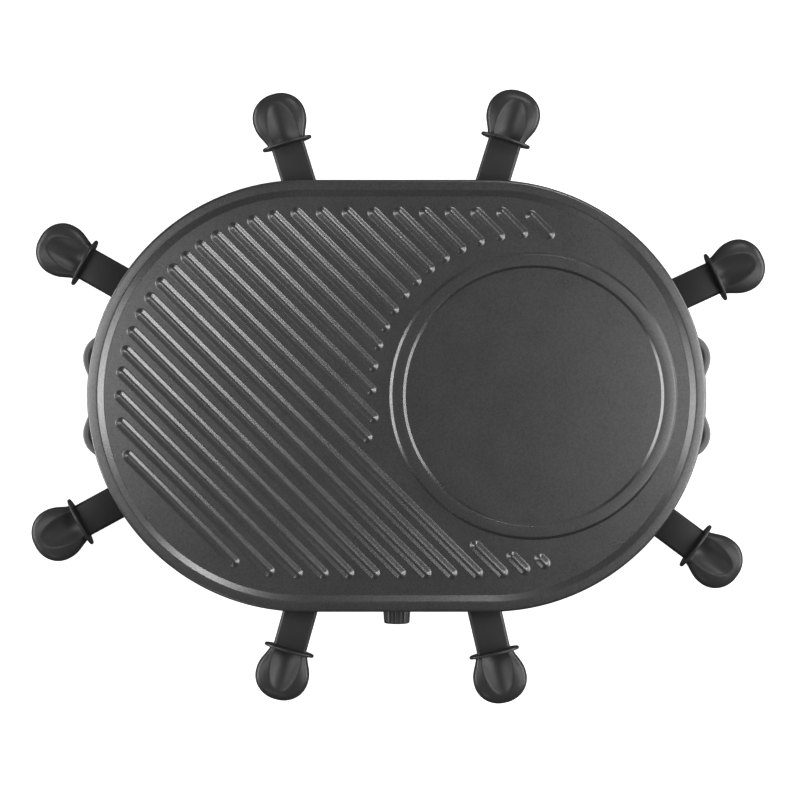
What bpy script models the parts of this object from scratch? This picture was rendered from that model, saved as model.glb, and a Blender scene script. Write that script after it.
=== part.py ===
"""Oval raclette grill for eight: a lift-off cast plate over eight pull-out pans.

Metres, +Z up, the front and its knob towards -Y. The origin is on the table,
below the middle of the grill.
"""

from math import asin, atan2, copysign, cos, pi, radians, sin, sqrt, tan

import bmesh
import bpy
from mathutils import Matrix, Vector

# Shared by all pieces
GAP = 0.0003  # between two pieces that touch
OVERRUN = 0.002  # how far a cutter runs past the face that it opens
MERGE = 0.00001  # points this close are one
OVAL_STEPS = 16  # facets in each round end of an oval
ROUND_STEPS = 12  # facets round a pin or foot
SCREW_STEPS = 8
CORNER_STEPS = 3  # facets in a rounded corner

# Cast plate
PLATE_LENGTH = 0.430
PLATE_WIDTH = 0.300
PLATE_DEPTH = 0.014  # from the rim's top face down to the skirt's foot
SKIRT_WALL = 0.004
SKIRT_DRAFT = 0.0006
FIELD_WALL = 0.0045
RIM_EDGE_RADIUS = 0.002
RIM_FLAT = 0.005
RIM_SLOPE = 0.005
RIM_HEIGHT = 0.0022  # of the rim over the cooking field
RIM_EDGE_STEPS = 2

# Grill ribs on the plate
RIBS_BEHIND = 12  # the middle rib, towards the rear right
RIBS_BEFORE = 13  # the middle rib, towards the front left
RIB_PITCH = 0.01262
RIB_SHIFT = -0.0028  # of the middle rib, square to the ribs
RIB_WIDTH = 0.009
RIB_HEIGHT = 0.0014
RIB_BEARING = -45.0  # degrees
RIB_START_INSET = 0.0195
RIB_END_INSET = 0.0235
RIB_RING_SPACE = 0.009  # between the crepe ring's foot and the ribs
RIB_SHORTEST = 0.0105
SHORT_RIB = 3  # the rib beside the crepe ring whose rear left part ends early
SHORT_RIB_CUT = 0.0165
RIB_END_STEPS = 3
RIB_SECTION_SHARES = ((0.0, -0.25), (0.4, 0.6), (0.8, 1.0))

# Crepe ring on the plate
RING_RADIUS = 0.0943  # to the middle of its crest
RING_CREST_WIDTH = 0.007
RING_FLANK = 0.0027
RING_HEIGHT = 0.002
RING_EDGE_SPACE = 0.0075  # between its foot and the rim's slope
RING_SUNK_SHARE = 0.3  # of its height, below the field
RING_EDGE_SHARE = 0.25
RING_STEPS = 40

# Base: moulded shell, steel cover, rubber feet
BASE_INSET = 0.010  # of the base's wall from the plate's edge
BASE_WALL = 0.0026
BASE_FOOT = 0.006  # height of the shell's lower edge
BASE_HEIGHT = 0.0345
BASE_TOP_RADIUS = 0.003
BASE_FOOT_RADIUS = 0.0065
BASE_LIP = 0.0018
COVER_WALL = 0.0012
COVER_LIP = 0.0025
COVER_RECESS = 0.0006  # of the cover behind the shell's lower edge
COVER_SPACE = 0.0004
BOSS_RADIUS = 0.004
BOSS_INSET = 0.0446
BOSS_BEARING = 43.0  # degrees, round the base's end
SCREW_RADIUS = 0.0016
SCREW_HEAD_RADIUS = 0.0033
SCREW_HEAD = 0.0017
SCREW_LENGTH = 0.014
SCREW_SPACE = 0.0004
FOOT_INSET = 0.0435
FOOT_BEARING = 58.0
FOOT_RADIUS = 0.010
FOOT_SHOULDER = 0.001
FOOT_NIB_RADIUS = 0.0026
FOOT_NIB = 0.003

# Pan deck: its raised island stops the pans
DECK_WALL = 0.0012
DECK_INSET = 0.014
ISLAND_SPACE = 0.0106  # between the island and the trays' inner corners
ISLAND_HEIGHT = 0.006
ISLAND_SLOPE = 0.006
WIRE_HOLE_RADIUS = 0.005

# Pans: tray, handle and screw, along the pan's own axis
TRAY_LENGTH = 0.090
TRAY_WIDTH = 0.080  # at its outer end
TRAY_SPACE = 0.003  # between two trays, side by side, at their inner ends
TRAY_CORNER = 0.016
TRAY_DEPTH = 0.0147
TRAY_WALL = 0.0012
TRAY_RIM = 0.0022
TRAY_DRAFT = 0.0040
TRAY_FLOOR_RADIUS = 0.0020
TONGUE_WIDTH = 0.016
TONGUE_LENGTH = 0.025
TONGUE_WALL = 0.0012
TONGUE_SPACE = 0.0003
HANDLE_REACH = 0.090  # from the tray's rim to the tip
HANDLE_SPACE = 0.0006  # between stem and tray wall
STEM_DROP = 0.001  # of the stem's top below the tray's rim
STEM_WIDTH = 0.0241
STEM_HEIGHT = 0.009
STEM_ROOF = 0.0015  # over the screw's end
BULB_RADIUS = 0.0194
BULB_HEIGHT = 0.0165
NECK_WIDTH = 0.0266
NECK_HEIGHT = 0.0145
GUARD_BACK = 0.0381  # from the tip to the guard ring's middle
GUARD_WIDTH = 0.0362
GUARD_HEIGHT = 0.0245
GUARD_RISE = 0.0048  # of the guard's middle over the stem's
GUARD_WALL = 0.0026
SCOOP_LENGTH = 0.040
SCOOP_WIDTH = 0.0208
SCOOP_DEPTH = 0.0030
SCOOP_RADIUS = 0.0065  # of the scoop's hollow, upright
SCOOP_BACK = 0.0290  # from the tip to the scoop's middle
SCOOP_STEPS = 10
PAN_SCREW_OUT = 0.011  # from the tray's rim
HANDLE_STEPS = 12
ROUND_SQUARENESS = 2.0
STEM_SQUARENESS = 5.0
BULB_SQUARENESS = 2.3
BULB_BLUNTNESS = 0.7
BULB_SECTION_SHARES = (0.0, 0.25, 0.5, 0.72, 0.88, 0.985)
GUARD_SECTION_SHARES = ((-0.5, 0.93), (-0.1, 1.0), (0.5, 0.95))  # of its wall and size

# Where each pan lies: the middle of its rim's outer end, and the bearing of its
# axis in degrees. A place along the grill's edge is a share of the tray's width,
# and a place out from its middle is a share of half the plate.
FRONT_AND_REAR_PAN_SHARES = {
    "rear_right": (0.775, 0.883, 72.7),
    "rear_left": (-0.785, 0.867, 107.1),
    "front_left": (-0.781, -0.871, -105.7),
    "front_right": (0.721, -0.880, -77.0),
}
SIDE_PAN_SHARES = {
    "left_rear": (-0.823, 0.865, 150.5),
    "left_front": (-0.835, -0.810, -151.5),
    "right_front": (0.796, -0.945, -36.8),
    "right_rear": (0.836, 0.785, 24.8),
}

# Heating element and its brackets
ELEMENT_RADIUS = 0.0033
ELEMENT_RISE = 0.0117  # over the trays' rims
ELEMENT_DROP = 0.0087  # below the plate's skirt
ELEMENT_SPREAD = 0.014  # between its two ends
ELEMENT_BEND = 0.009
ELEMENT_TAIL = 0.006  # reach inside the control tower
ELEMENT_BEND_STEPS = 4
BRACKET_REACH = 0.0165  # from a tower's inner face to the element
BRACKET_WIDTH = 0.012
BRACKET_WALL = 0.0012
BRACKET_FLANGE = 0.008
BRACKET_TAB = 0.005

# Upper frame
FRAME_WALL = 0.0015
FRAME_INSET = 0.003
FRAME_BAND = 0.012
FRAME_FLANGE = 0.021
FRAME_FOLD = 0.001

# Towers and posts between deck and upper frame
TOWER_WALL = 0.0022
TOWER_INNER_WIDTH = 0.025
TOWER_OUTER_WIDTH = 0.029
TOWER_INNER_INSET = 0.038  # of the towers' inner face from the plate's edge
TOWER_SETBACK = 0.001  # of their outer face from the deck's edge
TOWER_FRAME_SPACE = 0.001  # between the control tower's face and the frame
TOWER_CORNER = 0.003
POST_INNER_WIDTH = 0.022
POST_OUTER_WIDTH = 0.038
POST_INNER_INSET = 0.049
APRON_HEIGHT = 0.0195  # of the control tower's apron, below the base's top

# Controls
KNOB_RADIUS = 0.010
KNOB_LENGTH = 0.0195
KNOB_TAPER = 0.0012
KNOB_SKIRT_LIP = 0.0015
KNOB_SKIRT = 0.0025
KNOB_RIDGES = 14
KNOB_RIDGE = 0.0007
KNOB_EDGE = 0.0015
KNOB_SPACE = 0.0006  # between knob and tower
KNOB_DROP = 0.0032  # of its top below the frame
SHAFT_RADIUS = 0.003
SHAFT_SPACE = 0.0002
SHAFT_IN_KNOB = 0.012
SHAFT_IN_BODY = 0.007
THERMOSTAT_SPACE = 0.0003
THERMOSTAT_DEPTH = 0.014
THERMOSTAT_HEIGHT = 0.022
LENS_RADIUS = 0.0025
LENS_DOME = 0.0012
LENS_STEP_SHARES = (0.6, 0.75)  # of its radius and of its dome
LENS_RISE = 0.008  # of its axis over the apron's foot
LAMP_RADIUS = 0.0022
LAMP_LENGTH = 0.012
BLOCK_LENGTH = 0.034
BLOCK_DEPTH = 0.014
BLOCK_HEIGHT = 0.010
BLOCK_X = 0.030
BLOCK_WAYS = 3
BLOCK_HOLE_RADIUS = 0.0022
BLOCK_GROOVE = 0.0012
FUSE_RADIUS = 0.002
FUSE_LENGTH = 0.012
GLAND_RISE = 0.018  # of its axis over the base's foot
GLAND_RADIUS = 0.0056
GLAND_BORE = 0.0036
GLAND_LIP = 0.0026
GLAND_FLANGE = 0.0022
GLAND_SPACE = 0.0003

# Side grips
GRIP_OVERHANG = 0.013  # beyond the plate's end
GRIP_WIDTH = 0.0892
GRIP_CORNER = 0.0178
GRIP_STRAP = 0.0052
GRIP_DIP = 0.010
GRIP_DIP_STEPS = 8
GRIP_WEB = 0.003
GRIP_DROP = 0.0045  # of its top below the base's top
GRIP_HEIGHT = 0.0165
GRIP_EDGE = 0.0016
GRIP_SCREW_BEARING = 12.0  # degrees, round the base's end

# Heights that follow, from the table up
BASE_TOP = BASE_FOOT + BASE_HEIGHT
COVER_UNDER = BASE_FOOT + COVER_RECESS
DECK_TOP = BASE_TOP + GAP + DECK_WALL
TRAY_FLOOR = DECK_TOP + GAP
TRAY_TOP = TRAY_FLOOR + TRAY_DEPTH
STEM_MIDDLE = TRAY_TOP - TRAY_WALL - STEM_DROP - STEM_HEIGHT / 2
ELEMENT_AXIS = TRAY_TOP + ELEMENT_RISE + ELEMENT_RADIUS
SKIRT_FOOT = ELEMENT_AXIS + ELEMENT_RADIUS + ELEMENT_DROP
PLATE_TOP = SKIRT_FOOT + PLATE_DEPTH
FIELD_TOP = PLATE_TOP - RIM_HEIGHT
FIELD_UNDER = FIELD_TOP - FIELD_WALL
FRAME_TOP = SKIRT_FOOT - GAP
FRAME_UNDER = FRAME_TOP - FRAME_WALL
KNOB_SKIRT_RADIUS = KNOB_RADIUS + KNOB_SKIRT_LIP
KNOB_AXIS = FRAME_TOP - FRAME_BAND - KNOB_DROP - KNOB_SKIRT_RADIUS
APRON_FOOT = BASE_TOP - APRON_HEIGHT
LENS_AXIS = APRON_FOOT + LENS_RISE
GLAND_AXIS = BASE_FOOT + GLAND_RISE
GRIP_FOOT = BASE_TOP - GRIP_DROP - GRIP_HEIGHT

# Places in plan that follow
PLATE_STRAIGHT = (PLATE_LENGTH - PLATE_WIDTH) / 2
RING_FOOT_RADIUS = RING_RADIUS + RING_CREST_WIDTH / 2 + RING_FLANK
RIM_WIDTH = RIM_EDGE_RADIUS + RIM_FLAT + RIM_SLOPE
RING_CENTRE = PLATE_LENGTH / 2 - RIM_WIDTH - RING_EDGE_SPACE - RING_FOOT_RADIUS
BASE_END_RADIUS = PLATE_WIDTH / 2 - BASE_INSET
COVER_INSET = BASE_INSET + BASE_FOOT_RADIUS + BASE_LIP + COVER_SPACE
TOWER_OUTER_INSET = DECK_INSET + TOWER_SETBACK
TOWER_FRONT_INSET = FRAME_INSET + FRAME_WALL + TOWER_FRAME_SPACE
TOWER_INNER_FACE = PLATE_WIDTH / 2 - TOWER_INNER_INSET
POST_INNER_FACE = PLATE_LENGTH / 2 - POST_INNER_INSET
TOWER_FACE = -PLATE_WIDTH / 2 + TOWER_FRONT_INSET
WIRE_HOLE_Y = -(TOWER_INNER_FACE + TOWER_WALL + WIRE_HOLE_RADIUS)


def fresh_collection(name):
    """A new collection in the scene."""
    made = bpy.data.collections.new(name)
    bpy.context.scene.collection.children.link(made)
    return made


for leftover in list(bpy.data.objects):
    bpy.data.objects.remove(leftover)
GRILL = fresh_collection("raclette_grill")
HELPERS = fresh_collection("cutters")


def finish(name, colour, roughness, metallic=0.0):
    """A material with a colour, a roughness and a metallic value."""
    material = bpy.data.materials.new(name)
    material.use_nodes = True
    shader = material.node_tree.nodes["Principled BSDF"]
    shader.inputs["Base Color"].default_value = (*colour, 1.0)
    shader.inputs["Roughness"].default_value = roughness
    shader.inputs["Metallic"].default_value = metallic
    return material


CAST_COATING = finish("cast_coating", (0.045, 0.045, 0.047), 0.45, 0.2)
TRAY_COATING = finish("tray_coating", (0.03, 0.03, 0.032), 0.5, 0.2)
HANDLE_PLASTIC = finish("handle_plastic", (0.035, 0.035, 0.037), 0.42)
KNOB_PLASTIC = finish("knob_plastic", (0.03, 0.03, 0.032), 0.4)
BASE_PLASTIC = finish("base_plastic", (0.03, 0.03, 0.032), 0.5)
FRAME_PAINT = finish("frame_paint", (0.035, 0.035, 0.036), 0.45, 0.3)
DECK_PAINT = finish("deck_paint", (0.04, 0.04, 0.042), 0.5, 0.3)
SHEET_STEEL = finish("sheet_steel", (0.55, 0.55, 0.55), 0.35, 1.0)
ELEMENT_STEEL = finish("element_steel", (0.28, 0.27, 0.26), 0.4, 1.0)
SCREW_STEEL = finish("screw_steel", (0.6, 0.6, 0.6), 0.3, 1.0)
FOOT_RUBBER = finish("foot_rubber", (0.02, 0.02, 0.02), 0.8)
LENS_RED = finish("lens_red", (0.5, 0.02, 0.01), 0.15)
INNER_PLASTIC = finish("inner_plastic", (0.7, 0.68, 0.6), 0.5)


def added(name, mesh, material):
    """Puts a mesh in the grill's collection as a named, smooth-shaded object."""
    mesh.materials.clear()
    mesh.materials.append(material)
    mesh.shade_smooth()
    mesh.set_sharp_from_angle(angle=radians(32))
    made = bpy.data.objects.new(name, mesh)
    GRILL.objects.link(made)
    return made


def from_bmesh(name, bm, material):
    mesh = bpy.data.meshes.new(name)
    bm.to_mesh(mesh)
    bm.free()
    return added(name, mesh, material)


def loft(name, rings, material, ring=False, low_cap=True, high_cap=True):
    """A skin over rings of points, which run anticlockwise and from inside or below outwards.

    It is capped at both ends or, as a ring, joined from the last to the first.
    """
    bm = bmesh.new()
    loops = [[bm.verts.new(point) for point in points] for points in rings]
    pairs = list(zip(loops, loops[1:]))
    if ring:
        pairs.append((loops[-1], loops[0]))
    for low, high in pairs:
        for i, corner in enumerate(low):
            j = (i + 1) % len(low)
            bm.faces.new((corner, low[j], high[j], high[i]))
    if low_cap and not ring:
        bm.faces.new(list(reversed(loops[0])))
    if high_cap and not ring:
        bm.faces.new(loops[-1])
    return from_bmesh(name, bm, material)


def outward(body):
    """Turns the faces of a closed mesh outwards."""
    bm = bmesh.new()
    bm.from_mesh(body.data)
    bmesh.ops.recalc_face_normals(bm, faces=bm.faces)
    bm.to_mesh(body.data)
    bm.free()
    return body


def thicken(body, wall):
    """Gives an open skin its wall, on the side away from its normals."""
    solidify = body.modifiers.new("wall", "SOLIDIFY")
    solidify.thickness = wall
    solidify.offset = -1.0
    solidify.use_even_offset = True
    return body


def turned(name, profile, material, steps=ROUND_STEPS, closed=False):
    """A body turned round Z from (radius, height) points that run down its outer side."""
    mesh = bpy.data.meshes.new(name)
    points = [(radius, 0.0, height) for radius, height in profile]
    edges = [(i, i + 1) for i in range(len(points) - 1)]
    if closed:
        edges.append((len(points) - 1, 0))
    mesh.from_pydata(points, edges, [])
    made = added(name, mesh, material)
    screw = made.modifiers.new("turn", "SCREW")
    screw.steps = steps
    screw.render_steps = steps
    screw.use_merge_vertices = True
    screw.merge_threshold = MERGE
    return made


def box(name, low, high, material):
    """A block between two corners."""
    bm = bmesh.new()
    size = [b - a for a, b in zip(low, high)]
    middle = [(a + b) / 2 for a, b in zip(low, high)]
    placed = Matrix.Translation(middle) @ Matrix.Diagonal((*size, 1.0))
    bmesh.ops.create_cube(bm, size=1.0, matrix=placed)
    return from_bmesh(name, bm, material)


def rod(name, radius, start, end, material, steps=ROUND_STEPS):
    """A straight round bar from one point to another."""
    start, end = Vector(start), Vector(end)
    along = end - start
    placed = Matrix.Translation((start + end) / 2) @ along.to_track_quat("Z", "Y").to_matrix().to_4x4()
    bm = bmesh.new()
    bmesh.ops.create_cone(
        bm, cap_ends=True, segments=steps, radius1=radius, radius2=radius,
        depth=along.length, matrix=placed,
    )
    return from_bmesh(name, bm, material)


def helper(body):
    """Takes a body out of the model: it only shapes another."""
    GRILL.objects.unlink(body)
    HELPERS.objects.link(body)
    body.hide_render = True
    body.display_type = "WIRE"


def shaped(body, operation, others):
    for other in others:
        boolean = body.modifiers.new(operation.lower(), "BOOLEAN")
        boolean.operation = operation
        boolean.solver = "EXACT"
        boolean.object = other
        helper(other)
    return body


def cut(body, *cutters):
    return shaped(body, "DIFFERENCE", cutters)


def join(body, *others):
    return shaped(body, "UNION", others)


def soften(body, width, segments=1, angle=40):
    """Rounds the sharp edges."""
    bevel = body.modifiers.new("edges", "BEVEL")
    bevel.width = width
    bevel.segments = segments
    bevel.limit_method = "ANGLE"
    bevel.angle_limit = radians(angle)
    return body


def evaluated_mesh(body):
    graph = bpy.context.evaluated_depsgraph_get()
    return bpy.data.meshes.new_from_object(body.evaluated_get(graph))


def baked(body):
    """Turns an object's modifiers into its mesh."""
    mesh = evaluated_mesh(body)
    body.modifiers.clear()
    body.data = mesh
    return body


def meshed(curve_body, material):
    """A curve's shape as a mesh object with welded caps, in place of the curve."""
    bpy.context.view_layer.update()
    mesh = evaluated_mesh(curve_body)
    bm = bmesh.new()
    bm.from_mesh(mesh)
    bmesh.ops.remove_doubles(bm, verts=bm.verts, dist=MERGE)
    bm.to_mesh(mesh)
    bm.free()
    name, placed = curve_body.name, curve_body.matrix_world.copy()
    bpy.data.objects.remove(curve_body)
    made = added(name, mesh, material)
    made.name = name
    made.matrix_world = placed
    return made


def flat_solid(name, outlines, low, high, material):
    """A flat piece between two heights. An outline inside another is a hole."""
    curve = bpy.data.curves.new(name, "CURVE")
    curve.dimensions = "2D"
    curve.fill_mode = "BOTH"
    curve.extrude = (high - low) / 2
    for outline in outlines:
        spline = curve.splines.new("POLY")
        spline.points.add(len(outline) - 1)
        for point, corner in zip(spline.points, outline):
            point.co = (corner[0], corner[1], 0.0, 1.0)
        spline.use_cyclic_u = True
    made = bpy.data.objects.new(name, curve)
    made.location.z = (low + high) / 2
    GRILL.objects.link(made)
    return meshed(made, material)


def tube(name, points, radius, material):
    """A round tube along a chain of points, with filled ends."""
    curve = bpy.data.curves.new(name, "CURVE")
    curve.dimensions = "3D"
    curve.bevel_depth = radius
    curve.bevel_resolution = 2
    curve.use_fill_caps = True
    spline = curve.splines.new("POLY")
    spline.points.add(len(points) - 1)
    for point, place in zip(spline.points, points):
        point.co = (*place, 1.0)
    made = bpy.data.objects.new(name, curve)
    GRILL.objects.link(made)
    return meshed(made, material)


def oval(half_length, half_width, height):
    """Anticlockwise corners of a straight-sided oval with half-round ends."""
    corners = []
    for side in (1, -1):
        for step in range(OVAL_STEPS + 1):
            turn = pi * (step / OVAL_STEPS - 0.5)
            x = side * (half_length - half_width + half_width * cos(turn))
            corners.append((x, side * half_width * sin(turn), height))
    return corners


def plate_oval(inset, height):
    """The plate's outline, drawn in by an inset."""
    return oval(PLATE_LENGTH / 2 - inset, PLATE_WIDTH / 2 - inset, height)


def rounded_outline(corners, steps=CORNER_STEPS):
    """Points of an outline whose (x, y, radius) corners are rounded by arcs."""
    outline = []
    for i, (x, y, radius) in enumerate(corners):
        here = Vector((x, y))
        back = (Vector(corners[i - 1][:2]) - here).normalized()
        ahead = (Vector(corners[(i + 1) % len(corners)][:2]) - here).normalized()
        if radius == 0:
            outline.append(here)
            continue
        half = back.angle(ahead) / 2
        centre = here + (back + ahead).normalized() * radius / sin(half)
        first = here + back * radius / tan(half) - centre
        last = here + ahead * radius / tan(half) - centre
        sweep = first.angle_signed(last)
        for step in range(steps + 1):
            turned_by = Matrix.Rotation(-sweep * step / steps, 2)
            outline.append(centre + turned_by @ first)
    return outline


def at_height(outline, height):
    return [(point[0], point[1], height) for point in outline]


def rib_reach(offset, along, across, inset):
    """How far a rib's line runs, one way, to the plate's outline drawn in by an inset."""
    radius = PLATE_WIDTH / 2 - inset
    start = across * offset
    to_side = (copysign(radius, along.y) - start.y) / along.y
    side_x = start.x + along.x * to_side
    if abs(side_x) <= PLATE_STRAIGHT:
        return to_side
    start -= Vector((copysign(PLATE_STRAIGHT, side_x), 0.0))
    square = radius**2 - start.length_squared + start.dot(along) ** 2
    return sqrt(max(square, 0.0)) - start.dot(along)


def rib_spans(along, across):
    """(offset, start, end) of each rib, measured square to the ribs and along them."""
    ring_centre = Vector((RING_CENTRE, 0.0))
    clear = RING_FOOT_RADIUS + RIB_RING_SPACE
    spans = []
    for index in range(-RIBS_BEHIND, RIBS_BEFORE + 1):
        offset = RIB_SHIFT + RIB_PITCH * index
        start = -rib_reach(offset, -along, across, RIB_START_INSET)
        end = rib_reach(offset, along, across, RIB_END_INSET)
        middle = ring_centre.dot(along)
        square = clear**2 - (offset - ring_centre.dot(across)) ** 2
        pieces = [(start, end)]
        if square > 0:
            pieces = [(start, middle - sqrt(square)), (middle + sqrt(square), end)]
        if index == SHORT_RIB:
            pieces[0] = (start, pieces[0][1] - SHORT_RIB_CUT)
        spans += [(offset, a, b) for a, b in pieces if b - a > RIB_SHORTEST]
    return spans


def rib(name, offset, start, end, along, across):
    """One rounded rib with half-round ends, sunk a little into the plate."""
    half = RIB_WIDTH / 2
    rings = []
    for inset_share, height_share in RIB_SECTION_SHARES:
        radius = half * (1 - inset_share)
        points = []
        for place, facing in ((end - half, 0.0), (start + half, pi)):
            for step in range(RIB_END_STEPS + 1):
                turn = facing - pi / 2 + pi * step / RIB_END_STEPS
                spot = along * (place + radius * cos(turn)) - across * (radius * sin(turn)) + across * offset
                points.append((spot.x, spot.y, FIELD_TOP + RIB_HEIGHT * height_share))
        rings.append(points)
    return loft(name, rings, CAST_COATING)


def merged(name, bodies, material):
    """Several bodies that don't touch, as one helper mesh."""
    bm = bmesh.new()
    for body in bodies:
        mesh = evaluated_mesh(body)
        mesh.transform(body.matrix_world)
        bm.from_mesh(mesh)
        bpy.data.objects.remove(body)
    return from_bmesh(name, bm, material)


def make_grill_plate():
    """Cast plate: rim and skirt, cooking field, ribs and crepe ring in one piece."""
    section = [
        (SKIRT_WALL + RIM_EDGE_RADIUS, FIELD_UNDER),
        (SKIRT_WALL + SKIRT_DRAFT, FIELD_UNDER - RIM_EDGE_RADIUS),
        (SKIRT_WALL, SKIRT_FOOT),
        (SKIRT_DRAFT, SKIRT_FOOT),
    ]
    for step in range(RIM_EDGE_STEPS + 1):
        turn = pi / 2 * step / RIM_EDGE_STEPS
        section.append((RIM_EDGE_RADIUS * (1 - cos(turn)), PLATE_TOP - RIM_EDGE_RADIUS * (1 - sin(turn))))
    section += [(RIM_EDGE_RADIUS + RIM_FLAT, PLATE_TOP), (RIM_WIDTH, FIELD_TOP)]
    plate = loft("grill_plate", [plate_oval(*pair) for pair in section], CAST_COATING)
    along = Vector((cos(radians(RIB_BEARING)), sin(radians(RIB_BEARING))))
    across = Vector((along.y, -along.x))
    spans = rib_spans(along, across)
    raised = [rib(f"rib_{i}", *span, along, across) for i, span in enumerate(spans)]
    sunk = FIELD_TOP - RING_HEIGHT * RING_SUNK_SHARE
    crest = FIELD_TOP + RING_HEIGHT
    edge = RING_HEIGHT * RING_EDGE_SHARE
    outer_crest = RING_RADIUS + RING_CREST_WIDTH / 2
    inner_crest = RING_RADIUS - RING_CREST_WIDTH / 2
    ring = turned(
        "crepe_ring",
        [
            (inner_crest, crest),
            (outer_crest, crest),
            (outer_crest + edge, crest - edge),
            (outer_crest + RING_FLANK, sunk),
            (inner_crest - RING_FLANK, sunk),
            (inner_crest - edge, crest - edge),
        ],
        CAST_COATING, steps=RING_STEPS, closed=True,
    )
    ring.location.x = RING_CENTRE
    bpy.context.view_layer.update()
    join(plate, merged("raised_forms", [*raised, ring], CAST_COATING))


def corner_places(inset, bearing):
    """Four places round the base's ends: an inset from the plate's edge, at a bearing."""
    radius = PLATE_WIDTH / 2 - inset
    x = PLATE_STRAIGHT + radius * cos(radians(bearing))
    y = radius * sin(radians(bearing))
    return [(side * x, end * y) for side in (1, -1) for end in (1, -1)]


BOSS_PLACES = corner_places(BOSS_INSET, BOSS_BEARING)
FOOT_PLACES = corner_places(FOOT_INSET, FOOT_BEARING)
CORNER_NAMES = ("right_rear", "right_front", "left_rear", "left_front")


def make_base_shell():
    """Moulded base, open below, with screw bosses, wire hole and gland hole."""
    inner = BASE_INSET + BASE_WALL
    lip_inset = COVER_INSET - COVER_SPACE
    top_inner = BASE_TOP - BASE_WALL
    lip_top = BASE_FOOT + BASE_WALL
    section = [
        (inner + BASE_TOP_RADIUS / 2, top_inner),
        (inner, top_inner - BASE_TOP_RADIUS / 2),
        (inner, BASE_FOOT + BASE_FOOT_RADIUS),
        (inner + BASE_FOOT_RADIUS / 3, lip_top + BASE_FOOT_RADIUS / 6),
        (lip_inset, lip_top),
        (lip_inset, BASE_FOOT),
    ]
    for step in range(CORNER_STEPS):
        turn = pi / 2 * step / (CORNER_STEPS - 1)
        section.append((
            BASE_INSET + BASE_FOOT_RADIUS * (1 - sin(turn)),
            BASE_FOOT + BASE_FOOT_RADIUS * (1 - cos(turn)),
        ))
    for step in range(CORNER_STEPS):
        turn = pi / 2 * step / (CORNER_STEPS - 1)
        section.append((
            BASE_INSET + BASE_TOP_RADIUS * (1 - cos(turn)),
            BASE_TOP - BASE_TOP_RADIUS * (1 - sin(turn)),
        ))
    shell = loft("base_shell", [plate_oval(*pair) for pair in section], BASE_PLASTIC)
    boss_foot = COVER_UNDER + COVER_WALL + GAP
    bosses, holes = [], []
    for i, (x, y) in enumerate(BOSS_PLACES):
        bosses.append(rod(
            f"boss_{i}", BOSS_RADIUS, (x, y, boss_foot), (x, y, top_inner + BASE_WALL / 2), BASE_PLASTIC,
        ))
        holes.append(rod(
            f"boss_hole_{i}", SCREW_RADIUS + SCREW_SPACE, (x, y, boss_foot - OVERRUN),
            (x, y, COVER_UNDER + SCREW_LENGTH + SCREW_SPACE), BASE_PLASTIC, steps=SCREW_STEPS,
        ))
    join(shell, merged("bosses", bosses, BASE_PLASTIC))
    cutters = [merged("boss_holes", holes, BASE_PLASTIC)]
    cutters.append(rod(
        "wire_hole_in_shell", WIRE_HOLE_RADIUS, (0.0, WIRE_HOLE_Y, top_inner - OVERRUN),
        (0.0, WIRE_HOLE_Y, BASE_TOP + OVERRUN), BASE_PLASTIC,
    ))
    wall_y = BASE_END_RADIUS
    cutters.append(rod(
        "gland_hole", GLAND_RADIUS + GLAND_SPACE, (0.0, wall_y - BASE_WALL - OVERRUN, GLAND_AXIS),
        (0.0, wall_y + OVERRUN, GLAND_AXIS), BASE_PLASTIC,
    ))
    cutters.append(rod(
        "lamp_hole", LENS_RADIUS + GAP, (0.0, -wall_y - OVERRUN, LENS_AXIS),
        (0.0, -wall_y + BASE_WALL + OVERRUN, LENS_AXIS), BASE_PLASTIC,
    ))
    for name, place, outwards in grip_screws():
        cutters.append(rod(
            f"{name}_hole", SCREW_RADIUS + SCREW_SPACE, place - outwards * (BASE_WALL + OVERRUN),
            place + outwards * OVERRUN, BASE_PLASTIC, steps=SCREW_STEPS,
        ))
    cut(shell, *cutters)


def make_bottom_cover():
    """Sheet steel cover with a turned-up lip, and holes for screws and feet."""
    low = COVER_UNDER
    rings = [
        plate_oval(COVER_INSET + COVER_WALL, low),
        plate_oval(COVER_INSET, low + COVER_WALL),
        plate_oval(COVER_INSET, low + COVER_LIP),
    ]
    cover = loft("bottom_cover", rings, SHEET_STEEL, high_cap=False)
    thicken(cover, COVER_WALL)
    holes = []
    for kind, places, radius in (
        ("screw", BOSS_PLACES, SCREW_RADIUS + SCREW_SPACE),
        ("foot", FOOT_PLACES, FOOT_NIB_RADIUS + SCREW_SPACE),
    ):
        for i, (x, y) in enumerate(places):
            low_end = (x, y, low - OVERRUN)
            high_end = (x, y, low + COVER_WALL + OVERRUN)
            holes.append(rod(f"{kind}_hole_{i}", radius, low_end, high_end, SHEET_STEEL, steps=SCREW_STEPS))
    cut(cover, merged("cover_holes", holes, SHEET_STEEL))


def screw_profile(head_radius, head, shank_radius, shank):
    """Head below, from its underside at zero, and shank upwards."""
    edge = head / 3
    return [
        (0.0, shank),
        (shank_radius, shank - shank_radius / 2),
        (shank_radius, 0.0),
        (head_radius, 0.0),
        (head_radius - edge, -head),
        (0.0, -head),
    ]


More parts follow.
